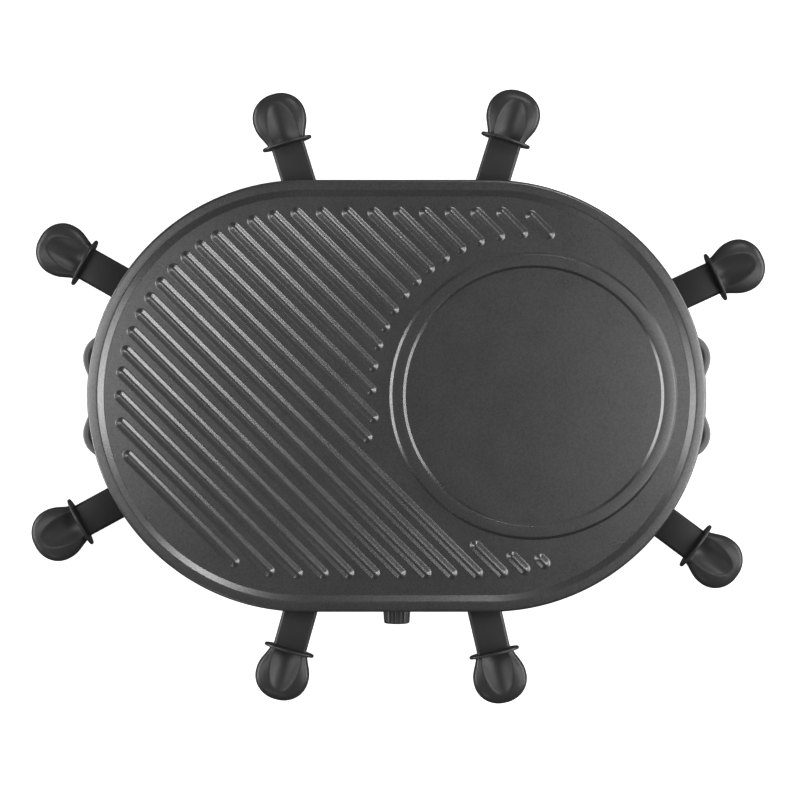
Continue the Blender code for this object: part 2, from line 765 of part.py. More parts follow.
def make_feet_and_cover_screws():
    for corner, (x, y) in zip(CORNER_NAMES, FOOT_PLACES):
        top = COVER_UNDER - GAP
        foot = turned(
            f"foot_{corner}",
            [
                (0.0, COVER_UNDER + COVER_WALL + FOOT_NIB),
                (FOOT_NIB_RADIUS, COVER_UNDER + COVER_WALL + FOOT_NIB / 2),
                (FOOT_NIB_RADIUS, top),
                (FOOT_RADIUS - FOOT_SHOULDER, top),
                (FOOT_RADIUS, top - FOOT_SHOULDER),
                (FOOT_RADIUS - FOOT_SHOULDER, 0.0),
                (0.0, 0.0),
            ],
            FOOT_RUBBER,
        )
        foot.location = (x, y, 0.0)
    profile = screw_profile(SCREW_HEAD_RADIUS, SCREW_HEAD, SCREW_RADIUS, SCREW_LENGTH)
    for corner, (x, y) in zip(CORNER_NAMES, BOSS_PLACES):
        screw = turned(f"cover_screw_{corner}", profile, SCREW_STEEL, steps=SCREW_STEPS)
        screw.location = (x, y, COVER_UNDER - GAP)


def pan_places():
    """Each pan's name, the middle of its rim's outer end and the way that it pulls out."""
    places = []
    for name, (across, out, bearing) in FRONT_AND_REAR_PAN_SHARES.items():
        places.append((name, Vector((across * TRAY_WIDTH, out * PLATE_WIDTH / 2)), bearing))
    for name, (out, across, bearing) in SIDE_PAN_SHARES.items():
        places.append((name, Vector((out * PLATE_LENGTH / 2, across * TRAY_WIDTH)), bearing))
    return [
        (name, place, Vector((cos(radians(bearing)), sin(radians(bearing)))))
        for name, place, bearing in places
    ]


def free_half_width(distance):
    """Half the width that all pans have, at a distance inwards, up to their neighbours' side.

    The border between two pans is the line midway between their axes.
    """
    free = []
    for name, place, out in pan_places():
        for other_name, other_place, other_out in pan_places():
            turn = abs(out.angle_signed(other_out))
            if other_name == name or turn > pi / 2:
                continue
            to_apex = (other_place - place).cross(other_out) / out.cross(other_out)
            free.append((-distance - to_apex) * tan(turn / 2))
    return min(free)


TRAY_INNER_WIDTH = 2 * free_half_width(TRAY_LENGTH) - TRAY_SPACE


def island_reach(names, axis):
    """How far the island reaches along an axis before the inner corners of these trays."""
    reach = []
    for name, place, out in pan_places():
        if name in names:
            inner_end = place - out * TRAY_LENGTH
            corner = abs(out[1 - axis]) * TRAY_INNER_WIDTH / 2
            reach.append(abs(inner_end[axis]) - corner)
    return min(reach) - ISLAND_SPACE


def make_pan_deck():
    """Sheet steel deck with a raised island that stops the pans."""
    length = island_reach(SIDE_PAN_SHARES, 0)
    width = island_reach(FRONT_AND_REAR_PAN_SHARES, 1)
    rings = [
        plate_oval(DECK_INSET, DECK_TOP),
        oval(length, width, DECK_TOP),
        oval(length - ISLAND_SLOPE, width - ISLAND_SLOPE, DECK_TOP + ISLAND_HEIGHT),
    ]
    deck = thicken(loft("pan_deck", rings, DECK_PAINT, low_cap=False), DECK_WALL)
    cut(deck, rod(
        "wire_hole_in_deck", WIRE_HOLE_RADIUS, (0.0, WIRE_HOLE_Y, BASE_TOP - OVERRUN),
        (0.0, WIRE_HOLE_Y, DECK_TOP + OVERRUN), DECK_PAINT,
    ))


def tower_outline(inner_inset, outer_inset, inner_width, outer_width, shrink=0.0):
    """Plan of a tower at the rear: narrow inside, wide outside."""
    inner_y = PLATE_WIDTH / 2 - inner_inset + shrink
    outer_y = PLATE_WIDTH / 2 - outer_inset - shrink
    radius = max(TOWER_CORNER - shrink, 0.0)
    return [
        (inner_width / 2 - shrink, inner_y, radius),
        (outer_width / 2 - shrink, outer_y, radius),
        (-outer_width / 2 + shrink, outer_y, radius),
        (-inner_width / 2 + shrink, inner_y, radius),
    ]


def hollow_tower(name, outline, hollow, turn):
    """A tower on the deck, hollow and open below, turned to its side of the grill."""
    foot = DECK_TOP + GAP
    top = FRAME_UNDER - GAP
    body = loft(name, [at_height(outline, foot), at_height(outline, top)], BASE_PLASTIC)
    inside = loft(
        f"{name}_hollow",
        [at_height(hollow, foot - OVERRUN), at_height(hollow, top - TOWER_WALL)],
        BASE_PLASTIC,
    )
    cut(outward(body), outward(inside))
    baked(body)
    body.data.transform(Matrix.Rotation(turn, 4, "Z"))
    return body


def make_towers():
    rear = (TOWER_INNER_INSET, TOWER_OUTER_INSET, TOWER_INNER_WIDTH, TOWER_OUTER_WIDTH)
    front = (TOWER_INNER_INSET, TOWER_FRONT_INSET, TOWER_INNER_WIDTH, TOWER_OUTER_WIDTH)
    hollow_tower(
        "rear_tower", rounded_outline(tower_outline(*rear)),
        rounded_outline(tower_outline(*rear, TOWER_WALL)), 0.0,
    )
    tower = hollow_tower(
        "control_tower", rounded_outline(tower_outline(*front)),
        rounded_outline(tower_outline(*front, TOWER_WALL)), pi,
    )
    apron = box(
        "apron", (-TOWER_OUTER_WIDTH / 2 + TOWER_CORNER, TOWER_FACE, APRON_FOOT),
        (TOWER_OUTER_WIDTH / 2 - TOWER_CORNER, -BASE_END_RADIUS - 2 * GAP, DECK_TOP + TOWER_WALL),
        BASE_PLASTIC,
    )
    join(tower, apron)
    cutters = [rod(
        "shaft_hole", SHAFT_RADIUS + SHAFT_SPACE, (0.0, TOWER_FACE - OVERRUN, KNOB_AXIS),
        (0.0, TOWER_FACE + TOWER_WALL + OVERRUN, KNOB_AXIS), BASE_PLASTIC,
    ), rod(
        "lens_hole", LENS_RADIUS + GAP, (0.0, TOWER_FACE - OVERRUN, LENS_AXIS),
        (0.0, -BASE_END_RADIUS + OVERRUN, LENS_AXIS), BASE_PLASTIC,
    )]
    for side in (1, -1):
        x = side * ELEMENT_SPREAD / 2
        cutters.append(rod(
            f"element_hole_{side}", ELEMENT_RADIUS + GAP,
            (x, -TOWER_INNER_FACE - TOWER_WALL - OVERRUN, ELEMENT_AXIS),
            (x, -TOWER_INNER_FACE + OVERRUN, ELEMENT_AXIS), BASE_PLASTIC,
        ))
    cut(tower, *cutters)
    post = (
        POST_INNER_INSET - PLATE_STRAIGHT, TOWER_OUTER_INSET - PLATE_STRAIGHT,
        POST_INNER_WIDTH, POST_OUTER_WIDTH,
    )
    for name, turn in (("left_post", pi / 2), ("right_post", -pi / 2)):
        hollow_tower(
            name, rounded_outline(tower_outline(*post)),
            rounded_outline(tower_outline(*post, TOWER_WALL)), turn,
        )


def make_upper_frame():
    """Folded steel ring: a band outside and a flange that carries the plate."""
    rings = [
        plate_oval(FRAME_INSET, FRAME_TOP - FRAME_BAND),
        plate_oval(FRAME_INSET, FRAME_TOP - FRAME_FOLD),
        plate_oval(FRAME_INSET + FRAME_FOLD, FRAME_TOP),
        plate_oval(FRAME_INSET + FRAME_FLANGE, FRAME_TOP),
    ]
    frame = loft("upper_frame", rings, FRAME_PAINT, low_cap=False, high_cap=False)
    thicken(frame, FRAME_WALL)


def make_heating_element():
    """One bent tube: an open oval whose ends turn forwards into the control tower."""
    radius = TOWER_INNER_FACE - BRACKET_REACH - ELEMENT_RADIUS
    straight = POST_INNER_FACE - BRACKET_REACH - ELEMENT_RADIUS - radius
    near = ELEMENT_SPREAD / 2
    tail_y = -TOWER_INNER_FACE - TOWER_WALL - ELEMENT_TAIL
    half = [(near, tail_y)]
    for step in range(ELEMENT_BEND_STEPS + 1):
        turn = pi / 2 * step / ELEMENT_BEND_STEPS
        half.append((near + ELEMENT_BEND * (1 - cos(turn)), -radius - ELEMENT_BEND * (1 - sin(turn))))
    steps = OVAL_STEPS // 2
    for step in range(steps + 1):
        turn = pi * (step / steps - 0.5)
        half.append((straight + radius * cos(turn), radius * sin(turn)))
    whole = half + [(-x, y) for x, y in reversed(half)]
    tube("heating_element", [(x, y, ELEMENT_AXIS) for x, y in whole], ELEMENT_RADIUS, ELEMENT_STEEL)


def make_brackets():
    """Sheet steel angles that carry the element: flange, shelf and turned-up tab."""
    shelf = ELEMENT_AXIS - ELEMENT_RADIUS - GAP
    places = (
        ("rear", TOWER_INNER_FACE, 0.0),
        ("left", POST_INNER_FACE, pi / 2),
        ("right", POST_INNER_FACE, -pi / 2),
    )
    for side, wall, turn in places:
        start = wall - GAP
        end = wall - BRACKET_REACH - 2 * ELEMENT_RADIUS - GAP - BRACKET_WALL
        profile = [
            (start, shelf - BRACKET_FLANGE),
            (start, shelf),
            (end, shelf),
            (end, shelf + BRACKET_TAB),
        ]
        bm = bmesh.new()
        rows = [
            [bm.verts.new((x, y, z)) for y, z in profile]
            for x in (-BRACKET_WIDTH / 2, BRACKET_WIDTH / 2)
        ]
        for i in range(len(profile) - 1):
            bm.faces.new((rows[0][i], rows[0][i + 1], rows[1][i + 1], rows[1][i]))
        bracket = from_bmesh(f"element_bracket_{side}", bm, SHEET_STEEL)
        bracket.data.transform(Matrix.Rotation(turn, 4, "Z"))
        thicken(bracket, BRACKET_WALL)


def ridged_ring(radius, ridge, distance):
    """A round of square ridges, at a distance along the knob's axis."""
    points = []
    for i in range(4 * KNOB_RIDGES):
        turn = 2 * pi * i / (4 * KNOB_RIDGES)
        r = radius if i % 4 < 2 else radius - ridge
        points.append((r * cos(turn), r * sin(turn), distance))
    return points


def make_controls():
    """Thermostat, shaft and knob on one axis, with the indicator below."""
    back = TOWER_FACE + TOWER_WALL + GAP
    half_width = TOWER_INNER_WIDTH / 2 - TOWER_WALL - THERMOSTAT_SPACE
    body = box(
        "thermostat_body", (-half_width, back, KNOB_AXIS - THERMOSTAT_HEIGHT / 2),
        (half_width, back + THERMOSTAT_DEPTH, KNOB_AXIS + THERMOSTAT_HEIGHT / 2), INNER_PLASTIC,
    )
    bore_end = back + SHAFT_IN_BODY + 2 * GAP
    cut(body, rod(
        "thermostat_bore", SHAFT_RADIUS + SHAFT_SPACE, (0.0, back - OVERRUN, KNOB_AXIS),
        (0.0, bore_end, KNOB_AXIS), INNER_PLASTIC,
    ))
    knob_back = TOWER_FACE - KNOB_SPACE
    shaft = rod(
        "thermostat_shaft", SHAFT_RADIUS, (0.0, 0.0, 0.0),
        (0.0, -(back + SHAFT_IN_BODY - knob_back + SHAFT_IN_KNOB), 0.0), SHEET_STEEL,
    )
    shaft.location = (0.0, back + SHAFT_IN_BODY, KNOB_AXIS)
    front_radius = KNOB_RADIUS - KNOB_TAPER
    rings = [
        ridged_ring(KNOB_SKIRT_RADIUS, 0.0, 0.0),
        ridged_ring(KNOB_SKIRT_RADIUS, 0.0, KNOB_SKIRT),
        ridged_ring(KNOB_RADIUS, KNOB_RIDGE, KNOB_SKIRT),
        ridged_ring(front_radius, KNOB_RIDGE, KNOB_LENGTH - KNOB_EDGE),
        ridged_ring(front_radius - KNOB_EDGE, 0.0, KNOB_LENGTH),
    ]
    knob = loft("control_knob", rings, KNOB_PLASTIC)
    outward(knob)
    bore = rod(
        "knob_bore", SHAFT_RADIUS + SHAFT_SPACE, (0.0, 0.0, -OVERRUN),
        (0.0, 0.0, SHAFT_IN_KNOB + 2 * GAP), KNOB_PLASTIC,
    )
    cut(knob, bore)
    baked(knob)
    knob.data.transform(Matrix.Rotation(pi / 2, 4, "X"))
    knob.location = (0.0, knob_back, KNOB_AXIS)
    lens_length = -TOWER_FACE - BASE_END_RADIUS
    lens = turned(
        "indicator_lens",
        [
            (0.0, LENS_DOME),
            (LENS_RADIUS * LENS_STEP_SHARES[0], LENS_DOME * LENS_STEP_SHARES[1]),
            (LENS_RADIUS, 0.0),
            (LENS_RADIUS, -lens_length),
            (0.0, -lens_length),
        ],
        LENS_RED,
    )
    baked(lens)
    lens.data.transform(Matrix.Rotation(pi / 2, 4, "X"))
    lens.location = (0.0, TOWER_FACE, LENS_AXIS)
    lamp_start = -BASE_END_RADIUS + GAP
    rod(
        "indicator_lamp", LAMP_RADIUS, (0.0, lamp_start, LENS_AXIS),
        (0.0, lamp_start + LAMP_LENGTH, LENS_AXIS), INNER_PLASTIC,
    )


def make_wiring_pieces():
    """Terminal block and thermal fuse below the base's top wall, and the cord's gland."""
    ceiling = BASE_TOP - BASE_WALL - GAP
    y = WIRE_HOLE_Y + WIRE_HOLE_RADIUS + BLOCK_DEPTH
    block = box(
        "terminal_block", (BLOCK_X - BLOCK_LENGTH / 2, y - BLOCK_DEPTH / 2, ceiling - BLOCK_HEIGHT),
        (BLOCK_X + BLOCK_LENGTH / 2, y + BLOCK_DEPTH / 2, ceiling), INNER_PLASTIC,
    )
    pitch = BLOCK_LENGTH / BLOCK_WAYS
    cutters = []
    for way in range(BLOCK_WAYS):
        x = BLOCK_X + pitch * (way - (BLOCK_WAYS - 1) / 2)
        cutters.append(rod(
            f"way_{way}", BLOCK_HOLE_RADIUS, (x, y - BLOCK_DEPTH, ceiling - BLOCK_HEIGHT / 2),
            (x, y + BLOCK_DEPTH, ceiling - BLOCK_HEIGHT / 2), INNER_PLASTIC, steps=SCREW_STEPS,
        ))
    for way in range(1, BLOCK_WAYS):
        x = BLOCK_X + pitch * (way - BLOCK_WAYS / 2)
        cutters.append(box(
            f"groove_{way}", (x - BLOCK_GROOVE / 2, y - BLOCK_DEPTH, ceiling - BLOCK_HEIGHT - OVERRUN),
            (x + BLOCK_GROOVE / 2, y + BLOCK_DEPTH, ceiling - BLOCK_HEIGHT + 2 * BLOCK_GROOVE),
            INNER_PLASTIC,
        ))
    cut(block, merged("block_cuts", cutters, INNER_PLASTIC))
    fuse_z = ceiling - FUSE_RADIUS
    fuse_x = BLOCK_X - BLOCK_LENGTH / 2 - GAP
    rod(
        "thermal_fuse", FUSE_RADIUS, (fuse_x - FUSE_LENGTH, y, fuse_z), (fuse_x, y, fuse_z), SHEET_STEEL,
    )
    inner_side = -BASE_WALL - 2 * GAP
    outer_radius = GLAND_RADIUS + GLAND_LIP
    edge = GLAND_FLANGE / 2
    gland = turned(
        "cord_gland",
        [
            (GLAND_BORE, GLAND_FLANGE),
            (outer_radius - edge, GLAND_FLANGE),
            (outer_radius, edge),
            (outer_radius, 0.0),
            (GLAND_RADIUS, 0.0),
            (GLAND_RADIUS, inner_side),
            (outer_radius, inner_side),
            (outer_radius - edge, inner_side - GLAND_FLANGE),
            (GLAND_BORE, inner_side - GLAND_FLANGE),
        ],
        FOOT_RUBBER, closed=True,
    )
    baked(gland)
    gland.data.transform(Matrix.Rotation(-pi / 2, 4, "X"))
    gland.location = (0.0, BASE_END_RADIUS + GAP, GLAND_AXIS)


# The base's round end is faceted, so its wall lies this far inside the true arc at most.
WALL_SAG = BASE_END_RADIUS * (1 - cos(pi / OVAL_STEPS / 2))


def grip_screws():
    """(name, place on the base's wall, outward direction) of each grip screw."""
    found = []
    height = GRIP_FOOT + GRIP_HEIGHT / 2
    for side, side_name in ((1, "right"), (-1, "left")):
        for end, end_name in ((1, "rear"), (-1, "front")):
            turn = radians(GRIP_SCREW_BEARING) * end
            outwards = Vector((side * cos(turn), sin(turn), 0.0))
            place = Vector((side * PLATE_STRAIGHT, 0.0, height)) + outwards * BASE_END_RADIUS
            found.append((f"grip_screw_{side_name}_{end_name}", place, outwards))
    return found


def grip_outline(reach, width, corner, back):
    """Bow seen from above: two round lobes with a shallow dip between them."""
    side = width / 2
    lobe = side - corner
    outline = rounded_outline([
        (back, -side, 0.0), (reach, -side, corner), (reach, side, corner), (back, side, 0.0),
    ], steps=GRIP_DIP_STEPS // 2)
    middle = len(outline) // 2
    for step in range(1, GRIP_DIP_STEPS):
        share = step / GRIP_DIP_STEPS
        dip = GRIP_DIP * sin(pi * share) ** 2
        outline.insert(middle + step - 1, Vector((reach - dip, lobe * (2 * share - 1))))
    return outline


def make_grips():
    """A moulded bow at each end, its web fitted to the base's round wall."""
    root = PLATE_STRAIGHT + BASE_END_RADIUS * cos(asin(GRIP_WIDTH / 2 / BASE_END_RADIUS))
    reach = PLATE_LENGTH / 2 + GRIP_OVERHANG
    outer = grip_outline(reach, GRIP_WIDTH, GRIP_CORNER, root - GRIP_WEB)
    inner = grip_outline(
        reach - GRIP_STRAP, GRIP_WIDTH - 2 * GRIP_STRAP, GRIP_CORNER - GRIP_STRAP,
        PLATE_LENGTH / 2 - BASE_INSET + GRIP_WEB,
    )
    for side, name, turn in ((1, "right_grip", 0.0), (-1, "left_grip", pi)):
        grip = flat_solid(name, [outer, inner], GRIP_FOOT, GRIP_FOOT + GRIP_HEIGHT, BASE_PLASTIC)
        soften(grip, GRIP_EDGE)
        baked(grip)
        grip.data.transform(Matrix.Translation((0.0, 0.0, grip.location.z)))
        grip.location.z = 0.0
        grip.data.transform(Matrix.Rotation(turn, 4, "Z"))
        wall = rod(
            f"{name}_seat", BASE_END_RADIUS + GAP, (side * PLATE_STRAIGHT, 0.0, GRIP_FOOT - OVERRUN),
            (side * PLATE_STRAIGHT, 0.0, GRIP_FOOT + GRIP_HEIGHT + OVERRUN),
            BASE_PLASTIC, steps=2 * OVAL_STEPS,
        )
        cutters = [wall]
        for screw_name, place, outwards in grip_screws():
            if place.x * side > 0:
                end = place + outwards * (GRIP_WEB - GAP)
                radius = SCREW_RADIUS + SCREW_SPACE
                start = place - outwards * OVERRUN
                cutters.append(rod(f"{screw_name}_seat", radius, start, end, BASE_PLASTIC))
        cut(grip, *cutters)
    profile = screw_profile(
        SCREW_HEAD_RADIUS, SCREW_HEAD, SCREW_RADIUS, BASE_WALL + GRIP_WEB - 3 * GAP,
    )
    for name, place, outwards in grip_screws():
        screw = turned(name, profile, SCREW_STEEL, steps=SCREW_STEPS)
        screw.rotation_euler = outwards.to_track_quat("Z", "Y").to_euler()
        screw.location = place - outwards * (BASE_WALL + GAP + WALL_SAG)


def tray_outline(inset):
    """Tray's plan at its rim, drawn in by an inset: wide outside, narrow inside."""
    slant = atan2((TRAY_WIDTH - TRAY_INNER_WIDTH) / 2, TRAY_LENGTH)
    spread = inset / cos(slant)
    narrow = inset * tan(slant)
    outer = TRAY_WIDTH / 2 - spread - narrow
    inner = TRAY_INNER_WIDTH / 2 - spread + narrow
    radius = min(TRAY_CORNER, TRAY_INNER_WIDTH / 2) - inset
    return rounded_outline([
        (-TRAY_LENGTH + inset, -inner, radius),
        (-inset, -outer, radius),
        (-inset, outer, radius),
        (-TRAY_LENGTH + inset, inner, radius),
    ])


def wall_inset(height):
    """How far the tray's outer wall lies inside its rim at a height."""
    wall_foot = TRAY_FLOOR + TRAY_FLOOR_RADIUS
    share = (TRAY_TOP - height) / (TRAY_TOP - wall_foot)
    return TRAY_RIM + TRAY_DRAFT * share


# The tongue's tip, the stem's underside and the screw's seat, from a pan's own place
TONGUE_OUT = TONGUE_LENGTH - wall_inset(STEM_MIDDLE)
STEM_UNDER = STEM_MIDDLE - STEM_HEIGHT / 2
PAN_SCREW_SEAT = STEM_UNDER + SCREW_HEAD + GAP
PAN_SCREW_LENGTH = STEM_HEIGHT - SCREW_HEAD - STEM_ROOF - 2 * GAP


def tray_mesh():
    """Pressed tray with flared walls, a rolled rim and a tongue for the handle."""
    rings = [
        at_height(tray_outline(TRAY_RIM + TRAY_DRAFT + TRAY_FLOOR_RADIUS), TRAY_FLOOR),
        at_height(tray_outline(TRAY_RIM + TRAY_DRAFT), TRAY_FLOOR + TRAY_FLOOR_RADIUS),
        at_height(tray_outline(TRAY_RIM), TRAY_TOP - TRAY_WALL),
        at_height(tray_outline(0.0), TRAY_TOP - TRAY_WALL),
    ]
    tray = loft("tray_master", rings, TRAY_COATING, high_cap=False)
    thicken(tray, TRAY_WALL)
    tongue = box(
        "tongue",
        (TONGUE_OUT - TONGUE_LENGTH - TRAY_WALL / 2, -TONGUE_WIDTH / 2, STEM_MIDDLE - TONGUE_WALL / 2),
        (TONGUE_OUT, TONGUE_WIDTH / 2, STEM_MIDDLE + TONGUE_WALL / 2), TRAY_COATING,
    )
    join(tray, tongue)
    cut(tray, rod(
        "tongue_hole", SCREW_RADIUS + SCREW_SPACE, (PAN_SCREW_OUT, 0.0, STEM_MIDDLE - OVERRUN),
        (PAN_SCREW_OUT, 0.0, STEM_MIDDLE + OVERRUN), TRAY_COATING, steps=SCREW_STEPS,
    ))
    return taken_mesh(tray)


def taken_mesh(body):
    """The mesh of a finished master, whose object goes."""
    mesh = evaluated_mesh(body)
    bpy.data.objects.remove(body)
    return mesh


def superellipse(distance, half_width, half_height, squareness):
    """Section of the handle at a distance out: round at 2, squarer above it."""
    points = []
    for i in range(HANDLE_STEPS):
        turn = 2 * pi * i / HANDLE_STEPS
        c, s = cos(turn), sin(turn)
        y = half_width * abs(c) ** (2 / squareness) * (1 if c > 0 else -1)
        z = half_height * abs(s) ** (2 / squareness) * (1 if s > 0 else -1)
        points.append((distance, y, STEM_MIDDLE + z))
    return points


def bulb_section(share):
    """Section of the bulb, from the guard at 0 to the tip at 1."""
    start = HANDLE_REACH - GUARD_BACK
    distance = start + GUARD_BACK * share
    from_middle = distance - (HANDLE_REACH - BULB_RADIUS)
    swell = sqrt(max(BULB_RADIUS**2 - from_middle**2, 0.0))
    neck = NECK_WIDTH / 2
    half_width = swell
    half_height = BULB_HEIGHT / 2 * (swell / BULB_RADIUS) ** BULB_BLUNTNESS
    if from_middle < 0:
        half_width = (swell**12 + neck**12) ** (1 / 12)
        rise = 1 + from_middle / (GUARD_BACK - BULB_RADIUS)
        smooth = rise * rise * (3 - 2 * rise)
        half_height = NECK_HEIGHT / 2 + (BULB_HEIGHT - NECK_HEIGHT) / 2 * smooth
    return superellipse(distance, half_width, half_height, BULB_SQUARENESS)


def handle_mesh():
    """Flat stem, guard ring and bulb in one moulding, with a thumb scoop on top."""
    stem_start = -wall_inset(STEM_MIDDLE + STEM_HEIGHT / 2) + HANDLE_SPACE
    guard_out = HANDLE_REACH - GUARD_BACK
    sections = [
        superellipse(distance, STEM_WIDTH / 2, STEM_HEIGHT / 2, STEM_SQUARENESS)
        for distance in (stem_start, guard_out - GUARD_WALL / 4)
    ]
    sections += [bulb_section(share) for share in BULB_SECTION_SHARES]
    handle = outward(loft("handle_master", sections, HANDLE_PLASTIC))
    scoop = bmesh.new()
    hollow_height = STEM_MIDDLE + BULB_HEIGHT / 2 - SCOOP_DEPTH + SCOOP_RADIUS
    placed = Matrix.Translation((HANDLE_REACH - SCOOP_BACK, 0.0, hollow_height))
    scaled = Matrix.Diagonal((SCOOP_LENGTH / 2, SCOOP_WIDTH / 2, SCOOP_RADIUS, 1.0))
    bmesh.ops.create_uvsphere(
        scoop, u_segments=SCOOP_STEPS, v_segments=SCOOP_STEPS // 2, radius=1.0, matrix=placed @ scaled,
    )
    cut(handle, from_bmesh("scoop", scoop, HANDLE_PLASTIC))
    guard = []
    for place_share, size_share in GUARD_SECTION_SHARES:
        ring = superellipse(
            guard_out + GUARD_WALL * place_share,
            GUARD_WIDTH / 2 * size_share, GUARD_HEIGHT / 2 * size_share, ROUND_SQUARENESS,
        )
        guard.append([(x, y, z + GUARD_RISE) for x, y, z in ring])
    join(handle, outward(loft("guard", guard, HANDLE_PLASTIC)))
    half = TONGUE_WALL / 2 + TONGUE_SPACE
    slot = box(
        "tongue_slot", (stem_start - OVERRUN, -TONGUE_WIDTH / 2 - TONGUE_SPACE, STEM_MIDDLE - half),
        (TONGUE_OUT + TONGUE_SPACE, TONGUE_WIDTH / 2 + TONGUE_SPACE, STEM_MIDDLE + half), HANDLE_PLASTIC,
    )
    hole = SCREW_RADIUS + SCREW_SPACE
    sink = SCREW_HEAD_RADIUS + SCREW_SPACE
    sink_top = PAN_SCREW_SEAT + GAP
    screw_hole = turned(
        "screw_hole",
        [
            (0.0, sink_top + PAN_SCREW_LENGTH),
            (hole, sink_top + PAN_SCREW_LENGTH),
            (hole, sink_top),
            (sink, sink_top),
            (sink, STEM_UNDER - OVERRUN),
            (0.0, STEM_UNDER - OVERRUN),
        ],
        HANDLE_PLASTIC, steps=SCREW_STEPS,
    )
    screw_hole.location.x = PAN_SCREW_OUT
    cut(handle, slot, screw_hole)
    return taken_mesh(handle)


def pan_screw_mesh():
    profile = screw_profile(SCREW_HEAD_RADIUS, SCREW_HEAD, SCREW_RADIUS, PAN_SCREW_LENGTH)
    screw = turned("pan_screw_master", profile, SCREW_STEEL, steps=SCREW_STEPS)
    mesh = taken_mesh(screw)
    mesh.transform(Matrix.Translation((PAN_SCREW_OUT, 0.0, PAN_SCREW_SEAT)))
    return mesh


def make_pans():
    """Eight equal pans, each on an empty whose +X is the way it pulls out."""
    pieces = (
        ("tray", tray_mesh(), TRAY_COATING),
        ("handle", handle_mesh(), HANDLE_PLASTIC),
        ("screw", pan_screw_mesh(), SCREW_STEEL),
    )
    for name, place, out in pan_places():
        axis = bpy.data.objects.new(f"pan_{name}_axis", None)
        axis.location = (place.x, place.y, 0.0)
        axis.rotation_euler.z = atan2(out.y, out.x)
        GRILL.objects.link(axis)
        for kind, mesh, material in pieces:
            piece = added(f"pan_{kind}_{name}", mesh, material)
            piece.parent = axis


make_grill_plate()
make_base_shell()
make_bottom_cover()
make_feet_and_cover_screws()
make_pan_deck()
make_towers()
make_upper_frame()
make_heating_element()
make_brackets()
make_controls()
make_wiring_pieces()
make_grips()
make_pans()
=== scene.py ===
"""Looks of the oval raclette grill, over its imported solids.

Metres, +Z up, the knob towards -Y. Every piece sits where its solid does.
"""

from math import asin, atan2, cos, exp, log, pi, radians, sin, sqrt, tan

import bmesh
import bpy
from mathutils import Matrix, Vector


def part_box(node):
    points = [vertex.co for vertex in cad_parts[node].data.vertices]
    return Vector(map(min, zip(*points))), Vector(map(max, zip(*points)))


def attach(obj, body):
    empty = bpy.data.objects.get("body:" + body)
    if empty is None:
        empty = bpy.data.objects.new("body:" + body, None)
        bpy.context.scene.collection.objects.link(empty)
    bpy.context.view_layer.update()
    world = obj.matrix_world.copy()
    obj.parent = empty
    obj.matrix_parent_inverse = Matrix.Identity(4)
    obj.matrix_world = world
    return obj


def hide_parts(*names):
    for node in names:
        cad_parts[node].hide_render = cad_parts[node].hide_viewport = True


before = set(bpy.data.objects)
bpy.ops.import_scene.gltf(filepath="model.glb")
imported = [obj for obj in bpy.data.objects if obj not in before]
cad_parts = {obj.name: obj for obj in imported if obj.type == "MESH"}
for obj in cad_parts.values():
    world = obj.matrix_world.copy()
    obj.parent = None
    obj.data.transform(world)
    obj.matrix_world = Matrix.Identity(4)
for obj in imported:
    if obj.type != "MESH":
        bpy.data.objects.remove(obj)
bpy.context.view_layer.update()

# Plan of the plate and of what follows its outline
PLATE_STRAIGHT = 0.065
PLATE_RADIUS = 0.150
OVAL_STEPS = 96  # in each round end
AXIS_RADIUS = 0.00002  # closes a turned shape at its axis

# Heights, from the table up
BASE_FOOT = 0.006
BASE_TOP = 0.0405
DECK_TOP = 0.042
TRAY_FLOOR = 0.0423
STEM_MIDDLE = 0.0503
TRAY_TOP = 0.057
ELEMENT_AXIS = 0.072
FRAME_UNDER = 0.0822
FRAME_TOP = 0.0837
SKIRT_FOOT = 0.084
FIELD_UNDER = 0.0913
FIELD_TOP = 0.0958
PLATE_TOP = 0.098

# Ribs and crepe ring of the cast plate
RIB_PITCH = 0.01262
RIB_SHIFT = -0.0028
RIB_HALF_WIDTH = 0.0047
RIB_HEIGHT = 0.0014
RIB_BEARING = radians(-45.0)
RIB_START_INSET = 0.0195
RIB_END_INSET = 0.0235
RIB_SHORTEST = 0.0105
SHORT_RIB = 3  # stops early at its rear
SHORT_RIB_CUT = 0.0165
RING_CENTRE = 0.095
RING_OUTSIDE = 0.1005
RING_SPACE = 0.0095  # between the ring and the ribs

# Pans, along their own axis
TRAY_LENGTH = 0.090
TRAY_WIDTH = 0.080
TRAY_INNER_WIDTH = 0.04688
TRAY_CORNER = 0.016
STEM_START = -0.0021
HANDLE_REACH = 0.0892
BULB_LENGTH = 0.0381
BULB_ROUNDNESS = 2 / 3.4  # exponent of its section; 1 would be an ellipse
GUARD_OUT = 0.0519
PAN_SCREW_OUT = 0.011
PAN_PLACES = {
    "rear_right": (0.06200, 0.13245, 72.7),
    "rear_left": (-0.06280, 0.13005, 107.1),
    "front_left": (-0.06248, -0.13065, -105.7),
    "front_right": (0.05768, -0.13200, -77.0),
    "left_rear": (-0.176945, 0.06920, 150.5),
    "left_front": (-0.179525, -0.06480, -151.5),
    "right_front": (0.17114, -0.07560, -36.8),
    "right_rear": (0.17974, 0.06280, 24.8),
}

# Control and grips
KNOB_AXIS = 0.057
KNOB_BACK = -0.1451
GRIP_FOOT = 0.0195
GRIP_HEIGHT = 0.0165

